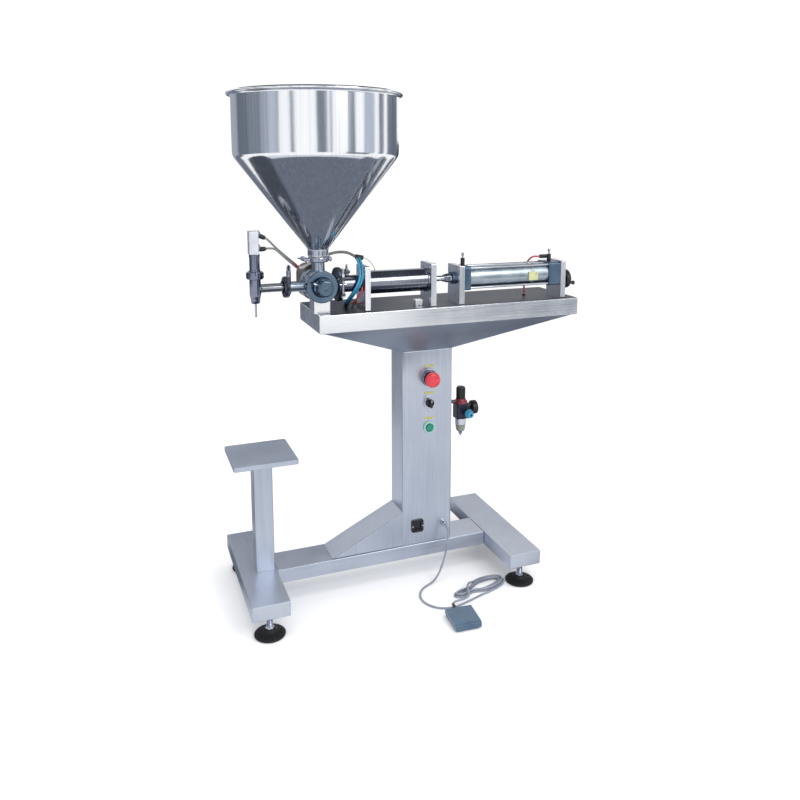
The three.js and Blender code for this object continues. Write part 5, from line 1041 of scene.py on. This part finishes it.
front_cap = end_block(86.3, 107.7)
nose_ring = collar(17, rod_hole, 62, 86.4, "X", bore, 0.8, 64)
rod_offset = 27
rod_places = [(0, axis_y + side, axis_z + up) for side in (-rod_offset, rod_offset) for up in (-rod_offset,
                                                                                               rod_offset)]
tie_rods = [bar(3.2, 107, 353, "X", place, 0, 20) for place in rod_places]
tie_nuts = [hexagon(5.2, 82.4, 86.3, "X", place) for place in rod_places]
make("front_end_block", [front_cap, nose_ring, *tie_nuts], block_grey,
     replaces=["air_cylinder_front_cap"])
make("tie_rods", tie_rods, chrome_rod)
barrel = collar(30.5, 28, 108.3, 352.4, "X", bore, 0.4, 96)
make("air_barrel", [barrel], barrel_grey, replaces=["air_cylinder_barrel"])
make("rear_end_block", [end_block(352.7, 387.7)], block_grey, replaces=["air_cylinder_rear_cap"])
air_piston = lathe([(0, 324.7), (26.8, 324.7), (27.7, 325.6), (27.7, 343.8), (26.8, 344.7), (0, 344.7)],
                   "X", bore, 64)
air_rod = bar(7.5, 62, 325, "X", bore, 0.4, 40)
make("air_piston_and_rod", [air_piston, air_rod], chrome_rod, "stroke_rod", ["air_piston"])

for name, x in (("front", 97), ("rear", 370.2)):
    base = hexagon(6.4, 895.5, 901, "Z", (x, axis_y, 0))
    stem = lathe([(0, 901), (5.8, 901), (5.8, 914.5), (5.0, 916), (0, 916)], "Z", (x, axis_y, 0), 32)
    make(f"{name}_speed_control", [base, stem], black_nylon)
    screw = lathe([(0, 916), (2.2, 916), (2.2, 922), (3.6, 922.4), (3.6, 929.2), (2.6, 930.2), (0, 930.2)],
                  "Z", (x, axis_y, 0), 24)
    make(f"{name}_speed_needle", [screw], turned_z)
outlet = lathe([(0, -31), (4.6, -31), (5.5, -29.6), (5.5, -8), (0, -8)], "X", (370.2, axis_y, 910), 32)
make("rear_hose_outlet", [outlet], black_nylon)

# %% [markdown]
# A reed switch rides in a clip on the barrel and tells the machine that the
# piston is back. It is a small yellow-green block with a red lamp.

# %% Reed switch
reed = block((287, axis_y - 34.5, 848), (316, axis_y - 27.5, 872), 1.5, "Y", 0.8)
make("reed_switch", [reed], switch_yellow)
lamp = lathe([(0, 0), (1.8, 0), (1.8, -0.9), (1.0, -1.5), (0, -1.7)], "Y", (309, axis_y - 34.4, 866), 20)
make("reed_switch_lamp", [lamp], stop_red)
clip = collar(32.2, 30.6, 296, 307, "X", bore, 0.4, 72)
make("reed_switch_clip", [clip], chrome_rod)

# %% [markdown]
# ## The handwheel
# The stroke is set by a screw at the right-hand end, turned by a small black
# wheel with a spinning grip. The wheel is a dished lathe shape on a hub.

# %% Handwheel and grip
wheel_z, arm = 842, 21
wheel = (0, axis_y, wheel_z)
wheel_profile = [(0, 405), (10, 405), (10, 418.6), (19.5, 420.2), (21.5, 419.4), (24, 418), (26.3, 419.3),
                 (27, 422),
                 (27, 428), (26.2, 430.8), (24, 432), (21.6, 430.8), (20.4, 427.2), (11, 425.6),
                 (10.4, 431.2), (9, 432), (0, 432)]
screw = moved(lathe(thread_profile(345, 405.5, 6, 1.8, 0.6), steps=24),
              Matrix.Translation(wheel) @ TURNED["X"])
make("handwheel_turned", [lathe(wheel_profile, "X", wheel, 64)], black_nylon, "wheel",
     ["handwheel"])
make("stroke_screw", [screw], turned_x, "wheel")
grip_angle = math.radians(210.6)
grip_at = (0, axis_y + arm * math.cos(grip_angle), wheel_z + arm * math.sin(grip_angle))
grip_pin = bar(2, 424, 440, "X", grip_at, 0.3, 20)
make("grip_pin", [grip_pin], chrome_rod, "wheel")
grip = lathe([(2.5, 432.3), (3.6, 432.3), (3.4, 434.5), (4.0, 437), (5.6, 440), (6.2, 442.6), (5.4, 445.2),
              (3.2, 446), (0, 446),
              (0, 440.6), (2.5, 440.6), (2.5, 432.3)], "X", grip_at, 40)
make("spinning_grip", [grip], black_nylon, "grip", ["handwheel_grip"])

# %% [markdown]
# ## The controls
# Three 22 mm controls sit one above another on the column: a red mushroom
# stop, a black selector and a green start button, each with a small bare
# yellow plate above it. The stop has a steel collar, the selector a chromed
# bezel and the start button a pale green one. All are turned, and the parts
# that move ride on their own bodies.

# %% Stop, selector and start
panel_x, panel_y = 4, -column_half_depth
stop_z, selector_z, start_z = 584, 512.5, 441


def on_panel(profile, height, steps=64):
    return lathe([(radius, -reach) for radius, reach in profile], "Y", (panel_x, panel_y, height), steps)


def bezel(hole, height):
    return on_panel([(hole, 0.3), (17, 0.3), (17, 3.4), (15.4, 6), (hole, 6), (hole, 0.3)], height)


stop_collar = on_panel([(8, 0.3), (24, 0.3), (24, 3), (21.6, 11), (20.6, 12), (8, 12), (8, 0.3)], stop_z)
make("stop_collar", [stop_collar], nozzle_steel, replaces=["emergency_stop_collar"])
mushroom = on_panel([(0, -30), (7, -30), (7, 20.6), (18.5, 21), (21.2, 22.5), (21.4, 28), (20, 32),
                     (15.5, 34.8), (8, 35.9), (0, 36)],
                    stop_z, 72)
make("stop_mushroom", [mushroom], stop_red, "stop_head", ["emergency_stop_button"])
rib_reach, rib_face = 12.6, panel_y - 35.15
for number in range(3):
    angles = [math.radians(number * 120 + 15) + step * 0.26 for step in range(6)]
    arc = [(panel_x + rib_reach * math.cos(a), rib_face, stop_z + rib_reach * math.sin(a)) for a in angles]
    tube(f"stop_grip_rib_{number}", arc, 0.7, stop_red, "stop_head")

make("selector_bezel", [bezel(12.3, selector_z)], chrome_rod)
selector_disc = on_panel([(0, -30), (5, -30), (5, 0.4), (12, 0.4), (12, 10.8), (11, 12), (0, 12)], selector_z)
lever = block((-3.5, -21, -11.5), (3.5, -9, 12.5), 3.4, "Y", 1.2)
pointer = block((-0.7, -21.3, 5), (0.7, -20.8, 11.5), 0.4, "Y", 0.1)
for shape in (lever, pointer):
    shifted(shape, panel_x, panel_y, selector_z)
make("selector_lever", [selector_disc, lever], black_nylon, "selector", ["selector_knob"])
make("selector_pointer", [pointer], dial_white, "selector")

make("start_bezel_ring", [bezel(12.6, start_z)], bezel_mint, replaces=["start_button_bezel"])
start_cap = on_panel([(0, -30), (7.5, -30), (7.5, 5.6), (10.8, 6.6), (10.8, 9.5), (9.6, 11), (0, 11.4)],
                     start_z)
make("start_cap", [start_cap], start_green, "start", ["start_button"])

for number, height in enumerate((stop_z + 34, selector_z + 28, start_z + 27)):
    label = block((panel_x - 14, panel_y - 0.9, height - 3.2), (panel_x + 14, panel_y + 0.2, height + 3.2),
                  1.2, "Y", 0.2)
    make(f"bare_label_plate_{number + 1}", [label], yellow_plate)

# %% [markdown]
# Low on the column are the mains inlet, a black moulded frame with a recess
# and three pins, and the cable gland, a hexagon nut with a domed cap.

# %% Mains inlet and gland
inlet_x, inlet_z = -30, 151
inlet_shell = block((inlet_x - 18, panel_y - 4, inlet_z - 17), (inlet_x + 18, panel_y - 0.3, inlet_z + 20),
                    6, "Y", 0)
soften(hollowed(inlet_shell, "Y", 8, 14), 0.6)
make("mains_inlet_frame", [inlet_shell], black_nylon, replaces=["power_inlet"])
pins = [shifted(block((-1, 1, -2.4), (1, 9.6, 2.4), edge=0.3), inlet_x + x, panel_y, inlet_z + z)
        for x, z in ((-5, -2), (0, 4), (5, -2))]
make("mains_inlet_pins", pins, chrome_rod)
inlet_screws = bolts((inlet_x, panel_y - 4, inlet_z + 1.5), "Y", 15.2, 2, 0, 2.0, 1.2, -1)
make("mains_inlet_screws", inlet_screws, chrome_rod)

gland = (cord_exit[0], panel_y, cord_exit[2])
gland_nut = hexagon(9, -8, -0.3, "Y", gland, 0.8)
gland_dome = lathe([(0, -14.3), (4.6, -14.3), (6.6, -13), (8, -10.5), (8.3, -8), (0, -8)], "Y", gland, 40)
make("gland_nut_and_dome", [gland_nut, gland_dome], turned_z, replaces=["cable_gland"])

# %% [markdown]
# ## The air regulator
# Air comes in through a filter regulator on the column's side: a black
# moulded body with a dark red ring, a fluted knob on top, a gauge facing
# right, a blue push-in fitting in front and a clear bowl below.

# %% Regulator
reg_x, reg_y = 119, -10
upright, air_inlet, gauge = (reg_x, reg_y, 0), (reg_x + 10, 0, 464), (0, reg_y, 471)
reg_body = block((reg_x - 18, reg_y - 18, 444), (reg_x + 18, reg_y + 18, 490), 5, "Z", 1.6)
reg_neck = lathe([(0, 489), (19.6, 489), (19.8, 492), (18.6, 495), (14.4, 498.5), (13.9, 503), (0, 503)],
                 "Z", upright, 56)
port = bar(11, -42, -27, "Y", air_inlet, 1.2, 40)
gauge_stem = bar(5, 136, 150.5, "X", gauge, 0.5, 32)
make("regulator_casting", [reg_body, port, gauge_stem], black_body,
     replaces=["regulator_body"])
make("regulator_red_ring", [reg_neck], collar_red)
bracket = [block((75.3, reg_y - 20, 472), (78.3, reg_y + 20, 508), 3, "X", 0.5),
           block((77.5, reg_y - 12, 493), (reg_x - 10, reg_y + 12, 496), 0, "Z", 0.4)]
bracket_screws = [shape for y in (reg_y - 14, reg_y + 14) for shape in bolts((78.3, y, 501), "X", 0, 1, 0,
                                                                             2.8, 1.8)]
make("regulator_bracket", [*bracket, *bracket_screws], black_body)

knob = lathe([(0, 503.3), (12.8, 503.3), (13.4, 504.2), (13.4, 507), (12.6, 508), (12.6, 533), (11.4, 536),
              (9.6, 537), (0, 537)],
             "Z", upright, 60)
knob_ribs = [shifted(rib, reg_x, reg_y) for rib in fan((12, -0.9, 508), (13.35, 0.9, 533), 20, 18, "Z")]
make("regulator_fluted_knob", [knob, *knob_ribs], knob_green_black, "pressure_knob",
     ["regulator_knob"])

bowl = lathe([(12.6, 443.7), (15, 443.7), (15, 428), (14, 414), (12, 406), (9, 403.6), (4.2, 403.2),
              (4.2, 405.6), (8.4, 406.2),
              (10, 408.4), (11.6, 415), (12.6, 428), (12.6, 443.7)], "Z", upright, 64)
make("filter_bowl", [bowl], clear_bowl, replaces=["regulator_bowl"])
cap_ring = collar(16.2, 14.8, 426, 443.8, "Z", upright, 0.5, 64)
make("filter_bowl_ring", [cap_ring], anodised)
element = lathe([(0, 443), (7, 443), (7, 424), (8.6, 423), (8.6, 421), (2, 419), (0, 419)], "Z", upright, 40)
make("filter_element", [element], dial_white)
drain = lathe([(0, 407), (4.1, 407), (4.1, 403), (6.4, 402.4), (5.6, 398), (2.6, 394), (2.2, 390.7),
               (0, 390.7)], "Z", upright, 32)
make("filter_drain", [drain], clamp_steel)

gauge_case = lathe([(0, 150.3), (17, 150.3), (20, 153), (20, 166.2), (19, 167.3), (17.2, 167.3),
                    (17, 164.6), (0, 164.6)], "X", gauge, 72)
make("gauge_case", [gauge_case], black_nylon, replaces=["pressure_gauge"])
gauge_dial = lathe([(0, 164.9), (16.8, 164.9), (16.8, 164.3), (0, 164.3)], "X", gauge, 64)
make("gauge_dial", [gauge_dial], dial_white)
ticks = fan((164.8, -0.25, 12.2), (165.05, 0.25, 15.6), 11, 27, "X", 0, -135)
hand = rotated(block((165.2, -0.35, -4), (165.5, 0.35, 12), edge=0), 40, "X")
hub = rotated(bar(1.6, 164.8, 166, "X", edge=0.2, steps=24), 40, "X")
marks = [shifted(shape, *gauge) for shape in (*ticks, hand, hub)]
make("gauge_marks_and_hand", marks, black_nylon)
pushin_nut = lathe([(0, -42), (12.4, -42), (12.8, -43.5), (12.8, -48), (11, -50), (0, -50)], "Y", air_inlet,
                   48)
make("blue_pushin_nut", [pushin_nut], tube_blue)
pushin = lathe([(0, -49), (9.6, -49), (9.6, -57), (8.2, -59.6), (4.4, -59.6), (4.4, -54), (0, -54)], "Y",
               air_inlet, 48)
make("blue_pushin", [pushin], pushin_blue)

# %% [markdown]
# ## The foot switch
# The pedal is a cast aluminium box in hammered blue-grey paint: a low base,
# and a treadle that pivots on a pin at its back and hangs over the base like
# a lid. The side outline of the treadle is drawn and extruded across, its
# underside is pushed in to leave a skirt, and the whole switch is turned a
# few degrees as it lies in the photograph.

# %% Pedal
pedal_place = Matrix.Translation((*pedal_centre, 0)) @ Matrix.Rotation(pedal_turn, 4, "Z")
base = block((-33, -38.2, 0), (33, 42, 5), 6, "Z", 1.2)
step = block((-31, -36.2, 4), (31, 38.6, 8.6), 5, "Z", 0.8)
bush = bar(5.5, 36, 48, "Y", (0, 0, 9.6), 1.0, 40)
pedal_low = [moved(shape, pedal_place) for shape in (base, step, bush)]
make("pedal_base_casting", pedal_low, hammered_blue, replaces=["pedal_base"])
top = slab([(-41.5, 4.6), (31, 9.4), (36.2, 12), (36.8, 16), (34, 21.6), (30, 23.6), (20, 24), (-34, 20.3),
            (-40.5, 18.4), (-41.8, 14)],
           "X", -35.6, 35.6, edge=0)
soften(hollowed(top, "Z", 2.2, 11), 1.0)
make("pedal_treadle_casting", [moved(top, pedal_place)], hammered_blue, "treadle",
     ["pedal_treadle"])

# %% [markdown]
# ## The air hoses
# Thin polyurethane tubes join the valve, the cylinders and the supply inside
# the tray. Each is a curve through the points of its run, and enters its
# fitting straight. The line behind the valve goes on as two blue tubes below a
# union, and a rubber grommet sits where a tube goes down through the tray.

# %% Hoses
hose_radius = 2.6
hoses = {
    "upper_nozzle_hose": (tube_grey, "grey_hose",
                          [(-444.2, -57, 988.0), (-441.4, -57, 986.8), (-434, -55, 980.6), (-422, -48, 968.6),
                          (-407, -40, 954.8), (-391.7, -32, 941.2), (-377.6, -24.5, 929.4),
                          (-365, -17, 919)]),
    "lower_nozzle_hose": (tube_grey, "grey_hose",
                          [(-443.4, -57, 962.2), (-440.2, -57, 962.2), (-434, -56, 962.2), (-421, -53, 960),
                          (-408, -46, 950), (-393, -38, 936.6), (-379, -31, 924.4), (-366, -23, 913.4),
                          (-356, -14, 905.6),
                          (-348, -8, 903), (-339, -5, 903.4), (-329, -3.4, 906.4), (-321, -2.4, 910),
                          (-318, -2, 910.4)]),
    "plate_hose": (tube_red, "red_hose", [(-196.8, -83, 861.2), (-199, -83, 860), (-201, -80, 846),
                                          (-206, -72, 832), (-211, -58, 818),
                   (-210, -30, 805), (-199, 8, 799.5), (-184, 36, 798), (-175, 50, 797),
                   (-172.5, 55, 792.8)]),
    "rear_hose": (tube_red, "red_hose", [(338.9, -57, 910), (335.9, -57, 910), (324.9, -48, 909),
                                         (318.9, -30, 896), (316.9, -17, 876),
                  (316.9, -13, 840), (316.9, -13, 798.5), (316.9, -13, 792.8)]),
}
for name, (finish, slot, points) in hoses.items():
    tube(name + "_run", points, hose_radius, finish, replaces=[name])
tube("nozzle_hose_red_end", [(-367, -18, 920.6), (-359, -16, 913.6), (-353, -16.5, 908),
                             (-348, -18, 905.4)], 2.7, tube_red)
tube("nozzle_hose_white_sleeve", [(-350, -17.5, 905.6), (-343, -19.5, 905.8), (-335.9, -20.5, 908.9),
                                  (-329, -21, 912.2),
     (-322, -21, 915.8), (-316, -20, 918.5)], 3.3, dial_white)
tube("nozzle_hose_red_tail", [(-317, -20.4, 918.1), (-309, -13, 920), (-307, 2, 919.5), (-310, 14, 917),
                              (-312, 20, 911)], 2.7,
     tube_red)
valve_run = [(-296, 18, 908.3), (-294, 18, 918), (-284, 14, 927), (-267, 10, 932.5), (-250, 3, 938),
             (-233, -10, 940.5), (-220, -30, 939),
             (-213, -50, 934.5), (-209, -58, 932.5)]
drop = [(-203, -62, 930), (-201.5, -73, 920), (-201.2, -83, 906), (-202, -90, 888), (-207, -92, 870),
        (-214, -85, 852),
        (-222, -66, 830), (-224, -36, 811), (-216, 4, 801), (-205, 34, 799), (-200, 46, 797),
        (-199, 50, 792.8)]
tube("valve_hose_upper_run", valve_run, 3.8, tube_grey, replaces=["valve_hose"])
tube("valve_hose_lower_run", drop, 3.6, tube_blue)
beside = [(x - 6.4, y + 1.5, z) for x, y, z in drop]
tube("second_blue_hose", beside, 3, pushin_blue)
tube("vent_tube", [(-193, -62, 928.6), (-186, -61, 928), (-177.8, -60, 923.5), (-167.4, -59, 913),
                   (-159, -57, 901), (-157, -57, 894)], 1.4,
     tube_clear)
union = lathe([(0, -11), (5.4, -11), (6.2, -9.6), (6.2, 9.6), (5.4, 11), (0, 11)], steps=36)
union_way = Vector((20, -4, -4)).to_track_quat("Z", "Y").to_matrix().to_4x4()
moved(union, Matrix.Translation((-201.5, -60, 931)) @ union_way)
make("hose_union", [union], black_nylon)
vent_port = lathe([(0, 890), (4, 890), (4, 894), (3, 895), (0, 895)], "Z", (-157, -57, 0), 28)
make("vent_port", [vent_port], chrome_rod)
grommets = [collar(5.6, 2.9, tray_top, tray_top + 2.6, "Z", (x, y, 0), 0.9, 36)
            for x, y in ((-172.5, 55), (-199, 50), (-205.4, 51.5), (316.9, -13))]
make("tray_grommets", grommets, foot_rubber)
ports = [lathe([(0, 905.5), (5.4, 905.5), (5.4, 909), (4.6, 910), (4.6, 913), (0, 913)], "Z", (x, y, 0), 32)
         for x, y in ((-312, 20), (-318, -2), (-296, 18))]
make("actuator_ports", ports, black_nylon)
plate_port = lathe([(0, -196.6), (5.4, -196.6), (5.4, -200), (4.6, -203), (0, -203)], "X", (0, -83, 861.2),
                   32)
make("plate_port", [plate_port], black_nylon)

# %% [markdown]
# ## Floor and light
# A pale floor and a white surround light the machine evenly, as in a
# catalogue picture. Polished steel shows only what stands round it, so grey
# cards that only reflections see draw its tones. The upright ones give the
# hopper its bands. The level ones lie near the floor, under the tray and
# overhead, and tone the cone, the beams' sides and the surfaces that face down.
# Each card is a strip swept round the hopper's axis, between two angles that
# are counted from the camera's side. Two area lamps add the soft highlights.

# %% Floor, surround and lamps
world = bpy.data.worlds.new("white_surround")
world.use_nodes = True
surround = world.node_tree.nodes["Background"].inputs
surround["Color"].default_value = linear("#FFFFFF")
surround["Strength"].default_value = 1.05
bpy.context.scene.world = world
bpy.context.scene.view_settings.view_transform = "Standard"


def stage_piece(name, shape, shade, only_reflected):
    mesh = bpy.data.meshes.new(name)
    bmesh.ops.translate(shape, vec=ORIGIN, verts=shape.verts)
    shape.to_mesh(mesh)
    shape.free()
    finish, tree, shader = start_finish(name + "_finish", {"Base Color": linear(shade), "Roughness": 0.9})
    if only_reflected:
        glow = add_node(tree, "ShaderNodeEmission", inputs={"Color": linear(shade), "Strength": 1.0})
        tree.links.new(glow.outputs[0], tree.nodes["Material Output"].inputs["Surface"])
    mesh.materials.append(finish)
    piece = bpy.data.objects.new(name, mesh)
    bpy.context.collection.objects.link(piece)
    piece.visible_camera = piece.visible_diffuse = piece.visible_shadow = not only_reflected
    piece.visible_transmission = not only_reflected
    piece.visible_glossy = only_reflected


floor = bmesh.new()
bmesh.ops.create_circle(floor, cap_ends=True, radius=40, segments=96)
stage_piece("pale_floor", floor, "#FCFCFD", False)


def arc_card(name, first, last, near, far, shade):
    """A card that only reflections see, between two (reach, height) points swept round the axis."""
    card = bmesh.new()
    edge = card.edges.new([card.verts.new((reach, 0, height)) for reach, height in (near, far)])
    turn = Matrix.Rotation(math.radians(camera_side + first), 3, "Z")
    bmesh.ops.rotate(card, cent=(0, 0, 0), matrix=turn, verts=card.verts)
    bmesh.ops.spin(card, geom=[*card.verts, edge], cent=(0, 0, 0), axis=(0, 0, 1),
                   angle=math.radians(last - first),
                   steps=max(2, (last - first) // 3))
    bmesh.ops.translate(card, vec=(hopper_x * MM, axis_y * MM, 0), verts=card.verts)
    stage_piece(name, card, shade, True)


camera_side = math.degrees(math.atan2(camera_place[1], camera_place[0]))
DARK, DIM, MID, SOFT, PALE, WHITE = "#474D56", "#6C737F", "#7E8691", "#A3A8B4", "#BCC3D0", "#FFFFFF"
under_tray, ground, card_reach = 0.58, -0.004, 3.0
# Each row is first and last angle in degrees, near and far reach and height in
# metres, and shade.
level_cards = [(-75, 85, 0.01, 0.58, under_tray, DIM), (-130, -75, 0.6, 2.0, ground, DARK),
               (-150, -130, 1.4, 3.5, ground, DIM),
               (-180, -150, 3.0, 8.0, ground, DARK), (92, 125, 0.6, 1.5, ground, DIM),
               (125, 150, 1.1, 2.4, ground, DIM),
               (150, 180, 1.9, 5.0, ground, DIM), (-124, -69, 0.28, 0.53, ground, DIM),
               (112, 157, 0.42, 0.64, ground, DARK),
               (-14, 20, 0.25, 0.48, ground, WHITE), (79, 93, 0.6, 0.76, ground, WHITE),
               (-180, 180, 0.01, 1.7, 2 * ground, "#DDE1E8"), (-180, 180, 0.01, 2.3, 2.7, DARK)]
for number, (first, last, near, far, height, shade) in enumerate(level_cards):
    arc_card(f"level_card_{number}", first, last, (near, height), (far, height), shade)

# Each row is first and last angle in degrees, low and high edge in metres, and
# shade.
upright_cards = [(-180, -158, 0.4, 2.1, DIM), (-158, -119, 0.62, 1.8, SOFT), (-158, -112, 0.02, 0.62, DIM),
                 (-119, -90, 0.4, 1.8, DIM),
                 (-90, -67, 0.4, 1.8, MID), (-67, -56, 0.4, 1.8, SOFT), (-56, -44, 0.4, 1.8, PALE),
                 (-44, -40, 0.4, 1.8, MID),
                 (-25, -20, 0.5, 1.8, MID), (9, 22, 0.5, 1.8, MID), (25, 29, 0.5, 1.8, PALE),
                 (50, 60, 0.62, 1.8, MID),
                 (48, 84, 0.02, 0.62, MID), (73, 91, 0.5, 1.8, PALE), (99, 109, 0.5, 1.8, MID),
                 (118, 152, 0.6, 1.65, DIM), (152, 180, 0.6, 1.3, DARK)]
for number, (first, last, low, high, shade) in enumerate(upright_cards):
    arc_card(f"upright_card_{number}", first, last, (card_reach, low), (card_reach, high), shade)

for name, place, size, power in (("key_light", (900, -2600, 2300), 1.4, 34),
                                 ("top_light", (-200, -300, 3200), 2.0, 26)):
    lamp_data = bpy.data.lights.new(name, "AREA")
    lamp_data.size, lamp_data.energy = size, power
    lamp_object = bpy.data.objects.new(name, lamp_data)
    lamp_object.location = at(*place)
    aim = at(-60, -30, 700) - lamp_object.location
    lamp_object.rotation_euler = aim.to_track_quat("-Z", "Y").to_euler()
    bpy.context.collection.objects.link(lamp_object)

# %% [markdown]
# ## Finish
# Every CAD node should now be stood for by a piece or wear a finish of its
# own.

# %% Dress what is left and close
for name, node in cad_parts.items():
    if not node.hide_render:
        print("still showing:", name)
        node.data.materials.clear()
        node.data.materials.append(bright_plate)
